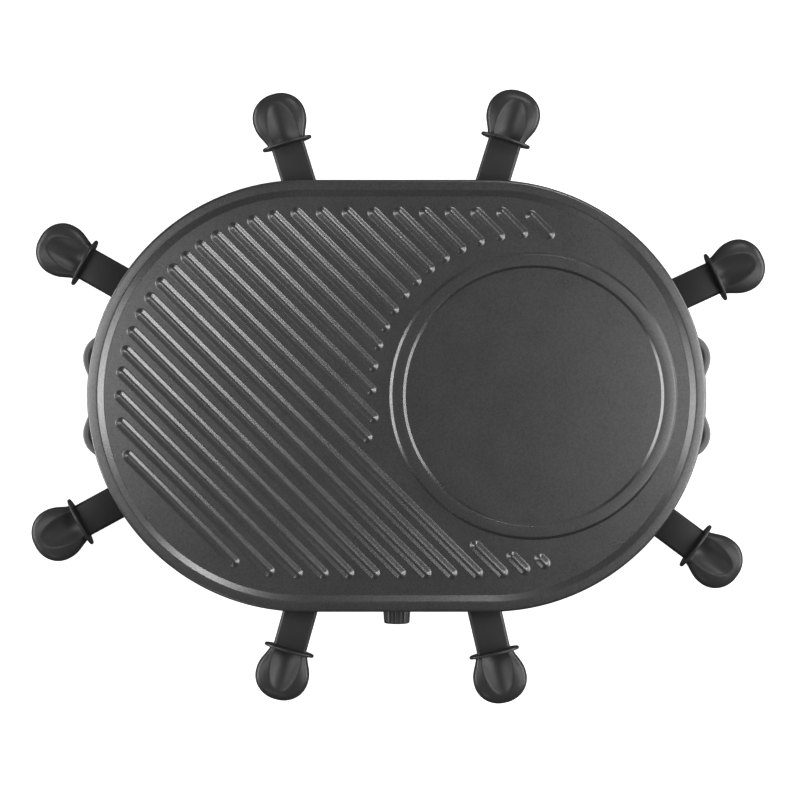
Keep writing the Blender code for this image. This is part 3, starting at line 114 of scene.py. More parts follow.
# Studio
SEEN_WHITE = 0.92
BACKDROP_GLOW = 0.95
WORLD_FILL = 0.085
LIGHT_AIM = (0.0, 0.0, 0.10)
SOFTBOXES = {  # place, width, depth, watts
    "left_top_softbox": ((-0.57, 0.08, 1.15), 0.28, 0.50, 1.6),
    "right_top_softbox": ((0.60, 0.0, 1.15), 0.30, 0.46, 1.9),
    "left_side_softbox": ((-1.24, -0.03, 1.34), 0.74, 0.38, 2.8),
    "right_side_softbox": ((1.26, -0.15, 1.32), 1.10, 0.55, 6.6),
    "left_low_softbox": ((-1.60, 0.10, 0.40), 1.60, 0.50, 17.0),
    "right_low_softbox": ((1.60, 0.10, 0.40), 1.60, 0.50, 17.0),
    "rear_low_softbox": ((0.0, 1.70, 0.40), 1.60, 0.50, 1.2),
    "rear_softbox": ((0.39, 0.90, 1.15), 0.30, 0.30, 2.7),
    "front_softbox": ((-0.60, -1.18, 1.15), 0.28, 0.30, 1.0),
}
CAMERA_PLACE = (0.0023, -0.0029, PLATE_TOP + 1.6)
CAMERA_LENS = 103.85


# Node materials


def node_graph(material):
    """The material's graph, its shader and the object-space coordinate."""
    material.use_nodes = True
    graph = material.node_tree
    shader = graph.nodes["Principled BSDF"]
    place = graph.nodes.new("ShaderNodeTexCoord").outputs["Object"]
    return graph, shader, place


def stretched(graph, place, scale):
    """Coordinates scaled by three factors, for grain that runs one way."""
    mapping = graph.nodes.new("ShaderNodeMapping")
    mapping.inputs["Scale"].default_value = scale
    graph.links.new(place, mapping.inputs["Vector"])
    return mapping.outputs["Vector"]


def noise(graph, place, scale, detail=3.0, roughness=0.55):
    """Grain or clouds as a value; the scale says how many to the metre."""
    node = graph.nodes.new("ShaderNodeTexNoise")
    node.inputs["Scale"].default_value = scale
    node.inputs["Detail"].default_value = detail
    node.inputs["Roughness"].default_value = roughness
    graph.links.new(place, node.inputs["Vector"])
    return node.outputs["Fac"]


def ramp(graph, value, stops):
    """Colour or grey that follows a value through (place, colour) stops."""
    node = graph.nodes.new("ShaderNodeValToRGB")
    elements = node.color_ramp.elements
    while len(elements) < len(stops):
        elements.new(0.5)
    for element, (place, colour) in zip(elements, stops):
        element.position = place
        if isinstance(colour, float):
            colour = (colour, colour, colour)
        element.color = (*colour, 1.0)
    graph.links.new(value, node.inputs["Fac"])
    return node.outputs["Color"]


def bumped(graph, shader, height, distance):
    """Relief of a value, as deep as the distance."""
    node = graph.nodes.new("ShaderNodeBump")
    node.inputs["Distance"].default_value = distance
    graph.links.new(height, node.inputs["Height"])
    graph.links.new(node.outputs["Normal"], shader.inputs["Normal"])


def mixed(graph, share, first, second, blend="MIX"):
    """Two colours blended by a share."""
    node = graph.nodes.new("ShaderNodeMix")
    node.data_type = "RGBA"
    node.blend_type = blend
    node.inputs["Factor"].default_value = share
    graph.links.new(first, node.inputs["A"])
    graph.links.new(second, node.inputs["B"])
    return next(out for out in node.outputs if out.type == "RGBA")


def grained(name, dark, light, roughness, grain, depth, metallic=0.0, specular=0.5):
    """A moulded or coated surface: fine grain in colour and height, broad clouds in colour and gloss."""
    material = bpy.data.materials.new(name)
    graph, shader, place = node_graph(material)
    fine = noise(graph, place, grain, 2.0)
    broad = noise(graph, place, 45.0, 4.0)
    speckled = ramp(graph, fine, [(0.34, dark), (0.66, light)])
    clouded = ramp(graph, broad, [(0.30, 0.96), (0.70, 1.0)])
    graph.links.new(mixed(graph, 1.0, speckled, clouded, "MULTIPLY"), shader.inputs["Base Color"])
    gloss = ramp(graph, broad, [(0.30, roughness - 0.01), (0.70, roughness + 0.01)])
    graph.links.new(gloss, shader.inputs["Roughness"])
    shader.inputs["Metallic"].default_value = metallic
    shader.inputs["Specular IOR Level"].default_value = specular
    bumped(graph, shader, fine, depth)
    return material


def drawn_steel(name, dark, light, roughness, along):
    """Drawn metal, with fine lines along one axis."""
    material = bpy.data.materials.new(name)
    graph, shader, place = node_graph(material)
    lines = noise(graph, stretched(graph, place, along), 1.0, 3.0, 0.6)
    broad = noise(graph, place, 30.0, 4.0)
    lined = ramp(graph, lines, [(0.3, dark), (0.7, light)])
    clouded = ramp(graph, broad, [(0.3, dark), (0.7, light)])
    colour = mixed(graph, 0.35, lined, clouded)
    graph.links.new(colour, shader.inputs["Base Color"])
    gloss = ramp(graph, lines, [(0.3, roughness - 0.06), (0.7, roughness + 0.08)])
    graph.links.new(gloss, shader.inputs["Roughness"])
    shader.inputs["Metallic"].default_value = 1.0
    bumped(graph, shader, lines, 0.00002)
    return material


def spangled_steel(name):
    """Galvanised sheet: broad crystals of slightly different grey and gloss."""
    material = bpy.data.materials.new(name)
    graph, shader, place = node_graph(material)
    cells = graph.nodes.new("ShaderNodeTexVoronoi")
    cells.inputs["Scale"].default_value = 160.0
    graph.links.new(place, cells.inputs["Vector"])
    grey = graph.nodes.new("ShaderNodeRGBToBW")
    graph.links.new(cells.outputs["Color"], grey.inputs["Color"])
    fine = noise(graph, place, 900.0, 2.0)
    shade = ramp(graph, grey.outputs["Val"], [(0.1, (0.42, 0.43, 0.44)), (0.9, (0.60, 0.61, 0.62))])
    dust = ramp(graph, fine, [(0.3, 0.35), (0.7, 0.65)])
    gloss = ramp(graph, grey.outputs["Val"], [(0.1, 0.30), (0.9, 0.46)])
    graph.links.new(mixed(graph, 0.2, shade, dust), shader.inputs["Base Color"])
    graph.links.new(gloss, shader.inputs["Roughness"])
    shader.inputs["Metallic"].default_value = 1.0
    bumped(graph, shader, fine, 0.00002)
    return material


def heated_steel(name):
    """The element's tube: dull steel, tinted brown and blue where it has glowed."""
    material = bpy.data.materials.new(name)
    graph, shader, place = node_graph(material)
    tint = noise(graph, place, 22.0, 3.0)
    fine = noise(graph, place, 1100.0, 3.0)
    colour = ramp(graph, tint, [
        (0.28, (0.13, 0.12, 0.125)), (0.45, (0.22, 0.19, 0.165)),
        (0.58, (0.25, 0.225, 0.20)), (0.72, (0.16, 0.165, 0.18)),
    ])
    soot = ramp(graph, fine, [(0.3, 0.72), (0.7, 1.0)])
    graph.links.new(mixed(graph, 1.0, colour, soot, "MULTIPLY"), shader.inputs["Base Color"])
    graph.links.new(ramp(graph, fine, [(0.3, 0.42), (0.7, 0.58)]), shader.inputs["Roughness"])
    shader.inputs["Metallic"].default_value = 0.9
    bumped(graph, shader, fine, 0.00003)
    return material


def lens_plastic(name):
    """Clear red plastic over the lamp, with the faint flow lines of moulding."""
    material = bpy.data.materials.new(name)
    graph, shader, place = node_graph(material)
    flow = noise(graph, place, 500.0, 2.0)
    red = ramp(graph, flow, [(0.3, (0.42, 0.012, 0.008)), (0.7, (0.58, 0.025, 0.012))])
    graph.links.new(red, shader.inputs["Base Color"])
    graph.links.new(ramp(graph, flow, [(0.3, 0.10), (0.7, 0.17)]), shader.inputs["Roughness"])
    shader.inputs["Transmission Weight"].default_value = 0.35
    shader.inputs["IOR"].default_value = 1.5
    bumped(graph, shader, flow, 0.00001)
    return material


def paper(name):
    """Seamless background sheet."""
    material = bpy.data.materials.new(name)
    graph, shader, place = node_graph(material)
    fibre = noise(graph, place, 300.0, 3.0)
    tint = ramp(graph, fibre, [(0.3, SEEN_WHITE - 0.01), (0.7, SEEN_WHITE)])
    graph.links.new(tint, shader.inputs["Base Color"])
    graph.links.new(tint, shader.inputs["Emission Color"])
    shader.inputs["Emission Strength"].default_value = BACKDROP_GLOW
    shader.inputs["Roughness"].default_value = 0.9
    shader.inputs["Specular IOR Level"].default_value = 0.1
    return material


CAST_COATING = grained(
    "cast_coating", (0.146, 0.145, 0.147), (0.182, 0.181, 0.183), 0.28, 800.0, 0.000012, metallic=0.85
)
TRAY_COATING = grained(
    "tray_coating", (0.050, 0.050, 0.052), (0.085, 0.085, 0.088), 0.36, 1700.0, 0.00004, metallic=0.55
)
HANDLE_PLASTIC = grained(
    "handle_plastic", (0.031, 0.031, 0.032), (0.039, 0.039, 0.040), 0.35, 2200.0, 0.00003
)
KNOB_PLASTIC = grained(
    "knob_plastic", (0.022, 0.022, 0.023), (0.032, 0.032, 0.033), 0.40, 2400.0, 0.00002
)
BASE_PLASTIC = grained(
    "base_plastic", (0.200, 0.200, 0.202), (0.235, 0.235, 0.237), 0.46, 1500.0, 0.00005
)
FRAME_PAINT = grained(
    "frame_paint", (0.030, 0.030, 0.031), (0.045, 0.045, 0.046), 0.45, 1200.0, 0.00004, metallic=0.3
)
DECK_PAINT = grained(
    "deck_paint", (0.035, 0.035, 0.036), (0.050, 0.050, 0.052), 0.42, 1200.0, 0.00004, metallic=0.3
)
FOOT_RUBBER = grained(
    "foot_rubber", (0.014, 0.014, 0.014), (0.024, 0.024, 0.024), 0.75, 1800.0, 0.00006, specular=0.3
)
INNER_PLASTIC = grained(
    "inner_plastic", (0.60, 0.58, 0.50), (0.70, 0.68, 0.60), 0.40, 900.0, 0.00002
)
SCREW_STEEL = drawn_steel(
    "screw_steel", (0.42, 0.42, 0.43), (0.62, 0.62, 0.63), 0.32, (1500.0, 1500.0, 300.0)
)
SHEET_STEEL = spangled_steel("sheet_steel")
ELEMENT_STEEL = heated_steel("element_steel")
LENS_RED = lens_plastic("lens_red")


# Mesh building


def mesh_from(name, points, faces, sharp=35.0):
    """Smooth mesh whose edges stay crisp where its faces turn by more than an angle."""
    mesh = bpy.data.meshes.new(name)
    mesh.from_pydata([tuple(p) for p in points], [], faces)
    bm = bmesh.new()
    bm.from_mesh(mesh)
    bmesh.ops.remove_doubles(bm, verts=bm.verts, dist=0.000002)
    bmesh.ops.recalc_face_normals(bm, faces=bm.faces)
    bm.to_mesh(mesh)
    bm.free()
    mesh.shade_smooth()
    mesh.set_sharp_from_angle(angle=radians(sharp))
    return mesh


def lofted(rings, low_cap=False, high_cap=False, closed=False):
    """Points and faces of a skin over rings with equal numbers of points."""
    count = len(rings[0])
    points = [p for ring in rings for p in ring]
    faces = []
    spans = len(rings) if closed else len(rings) - 1
    for i in range(spans):
        low = i * count
        high = (i + 1) % len(rings) * count
        for j in range(count):
            k = (j + 1) % count
            faces.append((low + j, low + k, high + k, high + j))
    if low_cap:
        faces.append(tuple(range(count - 1, -1, -1)))
    if high_cap:
        start = (len(rings) - 1) * count
        faces.append(tuple(range(start, start + count)))
    return points, faces


def merged_skins(*skins):
    """Several skins as one list of points and one of faces."""
    points, faces = [], []
    for more_points, more_faces in skins:
        start = len(points)
        points += more_points
        faces += [tuple(i + start for i in face) for face in more_faces]
    return points, faces


def evaluated_mesh(helper):
    """A new mesh of an object as its curve or modifiers make it."""
    bpy.context.view_layer.update()
    graph = bpy.context.evaluated_depsgraph_get()
    return bpy.data.meshes.new_from_object(helper.evaluated_get(graph))


def shown(name, mesh, material, body, nodes):
    """A piece of the scene that stands for solids and moves with their body."""
    mesh.materials.clear()
    mesh.materials.append(material)
    piece = bpy.data.objects.new(name, mesh)
    bpy.context.scene.collection.objects.link(piece)
    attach(piece, body)
    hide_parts(*nodes)


def turns(steps):
    """Angles of equal steps round a circle."""
    return [2 * pi * step / steps for step in range(steps)]


def oval(half_length, half_width, height):
    """Stadium about the origin: straight sides, a half circle at each end."""
    straight = half_length - half_width
    points = []
    for side in (1, -1):
        for step in range(OVAL_STEPS + 1):
            turn = pi * (step / OVAL_STEPS - 0.5)
            points.append((side * (straight + half_width * cos(turn)), side * half_width * sin(turn), height))
    return points


def plate_oval(inset, height):
    """The plate's outline, drawn in by an inset."""
    return oval(PLATE_STRAIGHT + PLATE_RADIUS - inset, PLATE_RADIUS - inset, height)


def arc(centre, radius, first, last, steps):
    """(inset, height) points of an arc in a section, angles in degrees."""
    found = []
    for step in range(steps + 1):
        turn = radians(first + (last - first) * step / steps)
        found.append((centre[0] + radius * cos(turn), centre[1] + radius * sin(turn)))
    return found


def rounded(profile, radii, steps=5):
    """A section's corners replaced by arcs; a radius of zero keeps the corner."""
    found = []
    count = len(profile)
    for i, (corner, radius) in enumerate(zip(profile, radii)):
        here = Vector(corner)
        if radius <= 0:
            found.append(tuple(here))
            continue
        back = Vector(profile[i - 1]) - here
        ahead = Vector(profile[(i + 1) % count]) - here
        back.normalize()
        ahead.normalize()
        half = back.angle(ahead) / 2
        reach = radius / tan(half)
        centre = here + (back + ahead).normalized() * radius / sin(half)
        first = here + back * reach - centre
        last = here + ahead * reach - centre
        sweep = first.angle_signed(last)
        for step in range(steps + 1):
            found.append(tuple(centre + Matrix.Rotation(-sweep * step / steps, 2) @ first))
    return found


def lathe(profile, steps, middle):
    """Rings of a turned shape; its section is (radius, height)."""
    return [
        [(middle[0] + radius * cos(turn), middle[1] + radius * sin(turn), height) for turn in turns(steps)]
        for radius, height in profile
    ]


# Cast plate


def rib_reach(offset, along, across, inset):
    """How far a rib's line runs, one way, to the plate's outline drawn in by an inset."""
    radius = PLATE_RADIUS - inset
    start = across * offset
    to_side = ((radius if along.y > 0 else -radius) - start.y) / along.y
    side_x = start.x + along.x * to_side
    if abs(side_x) <= PLATE_STRAIGHT:
        return to_side
    start -= Vector((PLATE_STRAIGHT if side_x > 0 else -PLATE_STRAIGHT, 0.0))
    square = radius**2 - start.length_squared + start.dot(along) ** 2
    return sqrt(max(square, 0.0)) - start.dot(along)


def rib_spans(along, across):
    """(offset, start, end) of each rib, clear of the crepe ring."""
    ring_centre = Vector((RING_CENTRE, 0.0))
    clear = RING_OUTSIDE + RING_SPACE
    spans = []
    for index in range(-12, 14):
        offset = RIB_SHIFT + RIB_PITCH * index
        start = -rib_reach(offset, -along, across, RIB_START_INSET)
        end = rib_reach(offset, along, across, RIB_END_INSET)
        middle = ring_centre.dot(along)
        square = clear**2 - (offset - ring_centre.dot(across)) ** 2
        parts = [(start, end)]
        if square > 0:
            cut = SHORT_RIB_CUT if index == SHORT_RIB else 0.0
            parts = [(start, middle - sqrt(square) - cut), (middle + sqrt(square), end)]
        spans += [(offset, a, b) for a, b in parts if b - a > RIB_SHORTEST]
    return spans


def rib_height(radius):
    """Height over the field: even flanks between a round crest and a round foot."""
    crest, foot = 0.0020, 0.0033
    slope = RIB_HEIGHT / (RIB_HALF_WIDTH / 2 + foot / 2 - crest / 2)
    height = RIB_HEIGHT
    height -= slope * min(radius, crest) ** 2 / crest / 2
    height -= slope * min(max(radius - crest, 0.0), foot - crest)
    past = max(radius - foot, 0.0)
    return height - slope * past * (1 - past / (RIB_HALF_WIDTH - foot) / 2)


def rib_skin(offset, start, end, along, across):
    """One rib: a smooth bump along a line, round at both ends."""
    rings = []
    radii = [RIB_HALF_WIDTH - 0.0002 * step for step in range(8)]
    radii += [0.0029, 0.0024, 0.0020, 0.0017, 0.0014, 0.0011, 0.0008, 0.0005, 0.0002, 0.00005]
    sunk = 0.00002
    for radius in radii:
        height = FIELD_TOP - sunk + rib_height(radius)
        ring = []
        for place, facing in ((end - RIB_HALF_WIDTH, 0.0), (start + RIB_HALF_WIDTH, pi)):
            for step in range(13):
                turn = facing - pi / 2 + pi * step / 12
                spot = along * (place + radius * cos(turn)) + across * (offset - radius * sin(turn))
                ring.append((spot.x, spot.y, height))
        rings.append(ring)
    return lofted(rings, high_cap=True)


def plate_skin():
    """Oval plate from its underside round a skirt and a soft edge to the sunk field."""
    lip = SKIRT_FOOT + 0.0004
    edge = 0.0020
    section = [(0.0070, FIELD_UNDER)]
    section += arc((0.0062, SKIRT_FOOT + 0.0040), 0.0016, 90, 180, 4)
    section += [(0.0042, lip), (0.0038, SKIRT_FOOT), (0.0010, SKIRT_FOOT), (0.0006, lip)]
    section += arc((edge, PLATE_TOP - edge), edge, 180, 90, 10)
    section += rounded(
        [(edge, PLATE_TOP), (0.0072, PLATE_TOP), (0.0116, FIELD_TOP), (0.0200, FIELD_TOP)],
        [0.0, 0.0026, 0.0012, 0.0], steps=8,
    )[1:-1]
    return lofted([plate_oval(*pair) for pair in section], low_cap=True, high_cap=True)


def ring_skin():
    """Crepe ring: a flat crest between two sloping walls that end below the field."""
    crest = FIELD_TOP + 0.0020
    foot = FIELD_TOP - 0.0001
    corner = 0.0004
    profile = rounded(
        [(0.0876, foot), (0.0887, foot), (0.0905, crest), (0.0981, crest), (0.1001, foot), (0.1012, foot)],
        [0.0, corner, corner, corner, corner, 0.0], steps=6,
    )
    return lofted(lathe(profile, 256, (RING_CENTRE, 0.0)))


def cast_plate():
    along = Vector((cos(RIB_BEARING), sin(RIB_BEARING)))
    across = Vector((along.y, -along.x))
    ribs = [rib_skin(*span, along, across) for span in rib_spans(along, across)]
    points, faces = merged_skins(plate_skin(), *ribs, ring_skin())
    mesh = mesh_from("cast_plate", points, faces, sharp=60.0)
    shown("cast_plate", mesh, CAST_COATING, "grill_plate", ["grill_plate"])


# Base, frame and deck


def base_body():
    """Shell under the pans: a soft shoulder, thin walls and a thicker foot."""
    outside = 0.010
    inside = outside + 0.0026
    foot_inside = outside + 0.0083
    shell = rounded(
        [
            (inside, BASE_TOP - 0.0026), (inside, BASE_FOOT + 0.0065),
            (foot_inside, BASE_FOOT + 0.0026), (foot_inside, BASE_FOOT),
            (outside, BASE_FOOT), (outside, BASE_TOP),
        ],
        [0.0, 0.0020, 0.0, 0.0005, 0.0065, 0.0030], steps=8,
    )
    points, faces = lofted([plate_oval(*pair) for pair in shell], low_cap=True, high_cap=True)
    mesh = mesh_from("base_body", points, faces, sharp=50.0)
    shown("base_body", mesh, BASE_PLASTIC, "base", ["base_shell"])


def frame_ring():
    """Folded ring: a flange under the plate, and outside it a wall that hangs down."""
    wall_outside, wall_inside, flange_edge = 0.0030, 0.0045, 0.0240
    wall_foot = 0.0717
    section = rounded(
        [
            (wall_outside, wall_foot), (wall_outside, FRAME_TOP), (flange_edge, FRAME_TOP),
            (flange_edge, FRAME_UNDER), (wall_inside, FRAME_UNDER), (wall_inside, wall_foot),
        ],
        [0.0003, 0.0012, 0.0003, 0.0003, 0.0004, 0.0003],
    )
    points, faces = lofted([plate_oval(*pair) for pair in section], closed=True)
    mesh = mesh_from("frame_ring", points, faces, sharp=50.0)
    shown("frame_ring", mesh, FRAME_PAINT, "base", ["upper_frame"])


def deck_sheet():
    """Sheet that the pans stand on, raised in the middle."""
    under = DECK_TOP - 0.0012
    edge = 0.0004
    island_length, island_width, island_rise = 0.07443, 0.02654, 0.006
    rings = [plate_oval(0.0150, under), plate_oval(0.0140, under)]
    rings += [plate_oval(*pair) for pair in arc((0.0144, DECK_TOP - edge), edge, 180, 90, 4)]
    profile = rounded(
        [(0.004, 0.0), (0.0, 0.0), (-island_rise, island_rise), (-2 * island_rise, island_rise)],
        [0.0, 0.0030, 0.0030, 0.0], steps=8,
    )
    rings += [oval(island_length + out, island_width + out, DECK_TOP + rise) for out, rise in profile]
    points, faces = lofted(rings, high_cap=True)
    mesh = mesh_from("deck_sheet", points, faces, sharp=50.0)
    shown("deck_sheet", mesh, DECK_PAINT, "base", ["pan_deck"])


def element_tube():
    """One smooth bent tube whose ends run into the control tower."""
    radius, straight = 0.0922, 0.0540
    leg, leg_bend = 0.007, 0.009
    tube_radius = 0.0033
    up = Vector((0.0, 0.0, 1.0))
    half = [(leg, -0.1202), (leg, -0.1110)]
    for step in range(9):
        turn = pi / 2 * step / 8
        half.append((leg + leg_bend * (1 - cos(turn)), -radius - leg_bend * (1 - sin(turn))))
    half.append((0.035, -radius))
    for step in range(49):
        turn = pi * (step / 48 - 0.5)
        half.append((straight + radius * cos(turn), radius * sin(turn)))
    half.append((0.020, radius))
    path = [Vector((x, y, ELEMENT_AXIS)) for x, y in half + [(-x, y) for x, y in reversed(half)]]
    rings = []
    for i, spot in enumerate(path):
        ahead = (path[min(i + 1, len(path) - 1)] - path[max(i - 1, 0)]).normalized()
        side = ahead.cross(up)
        rings.append([
            spot + side * (tube_radius * cos(turn)) + up * (tube_radius * sin(turn)) for turn in turns(20)
        ])
    points, faces = lofted(rings, low_cap=True, high_cap=True)
    mesh = mesh_from("element_tube", points, faces, sharp=50.0)
    shown("element_tube", mesh, ELEMENT_STEEL, "base", ["heating_element"])


# Grips, knob and feet


def bow(reach, side, corner):
    """Outer line of a grip: two round lobes and a dip between them, front to rear."""
    found = []
    dip = 0.0082
    lobe = side - corner
    for step in range(13):
        turn = -pi / 2 + pi / 2 * step / 12
        found.append((reach - corner + corner * cos(turn), -lobe + corner * sin(turn)))
    for step in range(1, 24):
        share = step / 24
        found.append((reach - dip * sin(pi * share) ** 2, lobe * (2 * share - 1)))
    for step in range(13):
        turn = pi / 2 * step / 12
        found.append((reach - corner + corner * cos(turn), lobe + corner * sin(turn)))
    return found


def grip_curve(name, facing, outlines):
    """A grip's outlines as a filled curve with bevelled edges."""
    edge = 0.0016
    curve = bpy.data.curves.new(name, "CURVE")
    curve.dimensions = "2D"
    curve.fill_mode = "BOTH"
    curve.extrude = GRIP_HEIGHT / 2 - edge
    curve.bevel_depth = edge
    curve.bevel_resolution = 3
    curve.offset = -edge
    for outline in outlines:
        spline = curve.splines.new("POLY")
        spline.points.add(len(outline) - 1)
        for point, (x, y) in zip(spline.points, outline):
            point.co = (facing * x, facing * y, 0.0, 1.0)
        spline.use_cyclic_u = True
    return curve


def grips():
    """Moulded bows with soft edges, their backs against the base's round ends."""
    reach, side, corner = 0.2262, 0.0446, 0.0172
    band = 0.0052
    back_radius = 0.1403
    inner_back, inner_side = 0.208, side - band
    turn = asin(side / back_radius)
    outer = []
    for step in range(17):
        angle = turn - 2 * turn * step / 16
        outer.append((PLATE_STRAIGHT + back_radius * cos(angle), back_radius * sin(angle)))
    outer += bow(reach, side, corner)
    inner = [(inner_back, inner_side), (inner_back, -inner_side)]
    inner += bow(reach - band, inner_side, corner - band)
    for name, facing in (("right_grip", 1), ("left_grip", -1)):
        helper = bpy.data.objects.new(name + "_curve", grip_curve(name, facing, (outer, inner)))
        bpy.context.scene.collection.objects.link(helper)
        mesh = evaluated_mesh(helper)
        bpy.data.objects.remove(helper)
        mesh.transform(Matrix.Translation((0.0, 0.0, GRIP_FOOT + GRIP_HEIGHT / 2)))
        mesh.name = name + "_moulding"
        mesh.shade_smooth()
        mesh.set_sharp_from_angle(angle=radians(40.0))
        shown(name + "_moulding", mesh, BASE_PLASTIC, "base", [name])


def knob_sections():
    """(distance, radius, relief) from the knob's skirt to its slightly domed front end."""
    sections = [(0.0, 0.0109, 0.0), (0.0006, 0.0115, 0.0), (0.0019, 0.0115, 0.0), (0.0025, 0.0109, 0.0)]
    sections += [(0.0027, 0.0102, 0.4), (0.0035, 0.0100, 1.0)]
    for step in range(1, 7):
        share = step / 6
        sections.append((0.0035 + 0.0118 * share, 0.0100 - 0.0009 * share, 1.0))
    for step in range(1, 6):
        turn = pi / 2 * step / 6
        radius = 0.0091 - 0.0013 * (1 - cos(turn))
        sections.append((0.0153 + 0.0012 * sin(turn), radius, 1.0 - 0.8 * step / 6))
    return sections + [(0.0165, 0.0076, 0.0), (0.0168, 0.0052, 0.0), (0.0170, 0.0020, 0.0)]


def knob():
    """Ridged knob on a smooth skirt."""
    ridges = 14
    groove_depth = 0.0007
    rings = []
    for distance, radius, relief in knob_sections():
        ring = []
        for turn in turns(ridges * 14):
            wave = 0.5 + 0.5 * cos(ridges * turn)
            out = radius - groove_depth * (1 - min(1.0, wave * 1.9)) * relief
            ring.append((out * cos(turn), KNOB_BACK - distance, KNOB_AXIS + out * sin(turn)))
        rings.append(ring)
    points, faces = lofted(rings, low_cap=True, high_cap=True)
    mesh = mesh_from("knob_grip", points, faces, sharp=50.0)
    shown("knob_grip", mesh, KNOB_PLASTIC, "knob", ["control_knob"])


def feet():
    """Rubber feet with a rounded tread edge, hollow in the middle."""
    top, hollow = 0.0063, 0.0008
    profile = rounded(
        [(0.0, top), (0.0100, top), (0.0098, 0.0), (0.0060, 0.0), (0.0055, hollow), (0.0, hollow)],
        [0.0, 0.0010, 0.0010, 0.0002, 0.0002, 0.0], steps=4,
    )
    profile = [(max(radius, AXIS_RADIUS), height) for radius, height in profile]
    for corner in ("right_rear", "right_front", "left_rear", "left_front"):
        low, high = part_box(f"foot_{corner}")
        middle = ((low[0] + high[0]) / 2, (low[1] + high[1]) / 2)
        points, faces = lofted(lathe(profile, 48, middle), low_cap=True, high_cap=True)
        mesh = mesh_from(f"tread_{corner}", points, faces, sharp=50.0)
        shown(f"tread_{corner}", mesh, FOOT_RUBBER, "base", [f"foot_{corner}"])


# Pans


def tray_outline(inset, height):
    """Tray's plan, wide outside and narrow inside, its corners rounded."""
    slant = atan2((TRAY_WIDTH - TRAY_INNER_WIDTH) / 2, TRAY_LENGTH)
    spread = inset / cos(slant)
    narrow = inset * tan(slant)
    outer = TRAY_WIDTH / 2 - spread - narrow
    inner = TRAY_INNER_WIDTH / 2 - spread + narrow
    radius = TRAY_CORNER - inset
    corners = [
        (-TRAY_LENGTH + inset, -inner), (-inset, -outer), (-inset, outer), (-TRAY_LENGTH + inset, inner),
    ]
    return [(x, y, height) for x, y in rounded(corners, [radius] * 4, steps=14)]


def tray_mesh():
    """Pressed pan: flared wall, soft floor edge and a rolled rim, with its tongue into the handle."""
    wall = 0.0012
    floor = TRAY_FLOOR
    profile = rounded(
        [
            (0.0100, floor), (0.0062, floor), (0.0022, TRAY_TOP - wall), (0.0, TRAY_TOP - wall),
            (0.0, TRAY_TOP), (0.0032, TRAY_TOP), (0.0074, floor + wall), (0.0110, floor + wall),
        ],
        [0.0, 0.0022, 0.0004, 0.00055, 0.00055, 0.0012, 0.0024, 0.0],
    )
    tray = lofted([tray_outline(*pair) for pair in profile], low_cap=True, high_cap=True)
    half = 0.008
    low, high = STEM_MIDDLE - wall / 2, STEM_MIDDLE + wall / 2
    ends = [[(x, -half, low), (x, half, low), (x, half, high), (x, -half, high)] for x in (-0.0045, 0.0207)]
    tongue = lofted(ends, low_cap=True, high_cap=True)
    points, faces = merged_skins(tray, tongue)
    return mesh_from("pan_tray_form", points, faces, sharp=50.0)


def power(value, exponent):
    """A power that keeps the value's sign."""
    return abs(value) ** exponent * (1 if value > 0 else -1)


def bulb_half(back, widest, full, neck, swell, closing, fade):
    """Half a breadth of the bulb at a distance back from its tip: full where widest, then down to a neck."""
    if back < widest:
        return full * (1 - ((widest - back) / widest) ** swell) ** (1 / closing)
    share = min((back - widest) / (BULB_LENGTH - widest), 1.0) ** fade
    return neck + (full - neck) * (0.5 + 0.5 * cos(pi * share))


def scooped(x, y, z):
    """A point of the bulb's top, lowered into the thumb scoop where it lies over it."""
    if z < STEM_MIDDLE:
        return z
    middle = HANDLE_REACH - 0.0290
    half_length, half_width = (0.0225 if x > middle else 0.0160), 0.0104
    softness = 0.014
    depth = 1 - ((x - middle) / half_length) ** 2 - (y / half_width) ** 2
    if abs(depth) <= 12 * softness:
        depth = softness * log(1 + exp(depth / softness))
    return z - 0.0038 * max(depth, 0.0)


def bulb_skin():
    """Bulb from its neck to its tip, its rings closer together towards the tip."""
    tip_part = 0.0165
    backs = [BULB_LENGTH - (BULB_LENGTH - tip_part) * step / 60 for step in range(61)]
    backs += [tip_part * (1 - sin(pi / 2 * step / 36)) for step in range(1, 37)]
    rings = []
    for back in backs:
        x = HANDLE_REACH - back
        past_tip = max(back, 0.0000005)
        half_width = max(bulb_half(past_tip, 0.0176, 0.0192, 0.0134, 2.05, 2.05, 1.2), 0.00002)
        half_height = max(bulb_half(past_tip, 0.0165, 0.00825, 0.0070, 4.0, 2.4, 1.0), 0.00001)
        ring = []
        for turn in turns(120):
            y = half_width * power(cos(turn), BULB_ROUNDNESS)
            z = STEM_MIDDLE + half_height * power(sin(turn), BULB_ROUNDNESS)
            ring.append((x, y, scooped(x, y, z)))
        rings.append(ring)
    return lofted(rings, low_cap=True, high_cap=True)


def guard_skin():
    """Oval guard that stands across the handle, its edge rounded."""
    half, edge, middle_inset = 0.0011, 0.0008, 0.0040
    half_width, half_height, rise = 0.0181, 0.01225, 0.0048
    quarter = [pi / 2 * step / 6 for step in range(7)]
    profile = [(-half, middle_inset)]
    profile += [(-half + edge * (1 - cos(turn)), edge * (1 - sin(turn))) for turn in quarter]
    profile += [(half - edge * (1 - sin(turn)), edge * (1 - cos(turn))) for turn in quarter]
    profile.append((half, middle_inset))
    rings = []
    for out, inset in profile:
        rings.append([
            (
                GUARD_OUT + out, (half_width - inset) * cos(turn),
                STEM_MIDDLE + rise + (half_height - inset) * sin(turn),
            )
            for turn in turns(96)
        ])
    return lofted(rings, low_cap=True, high_cap=True)


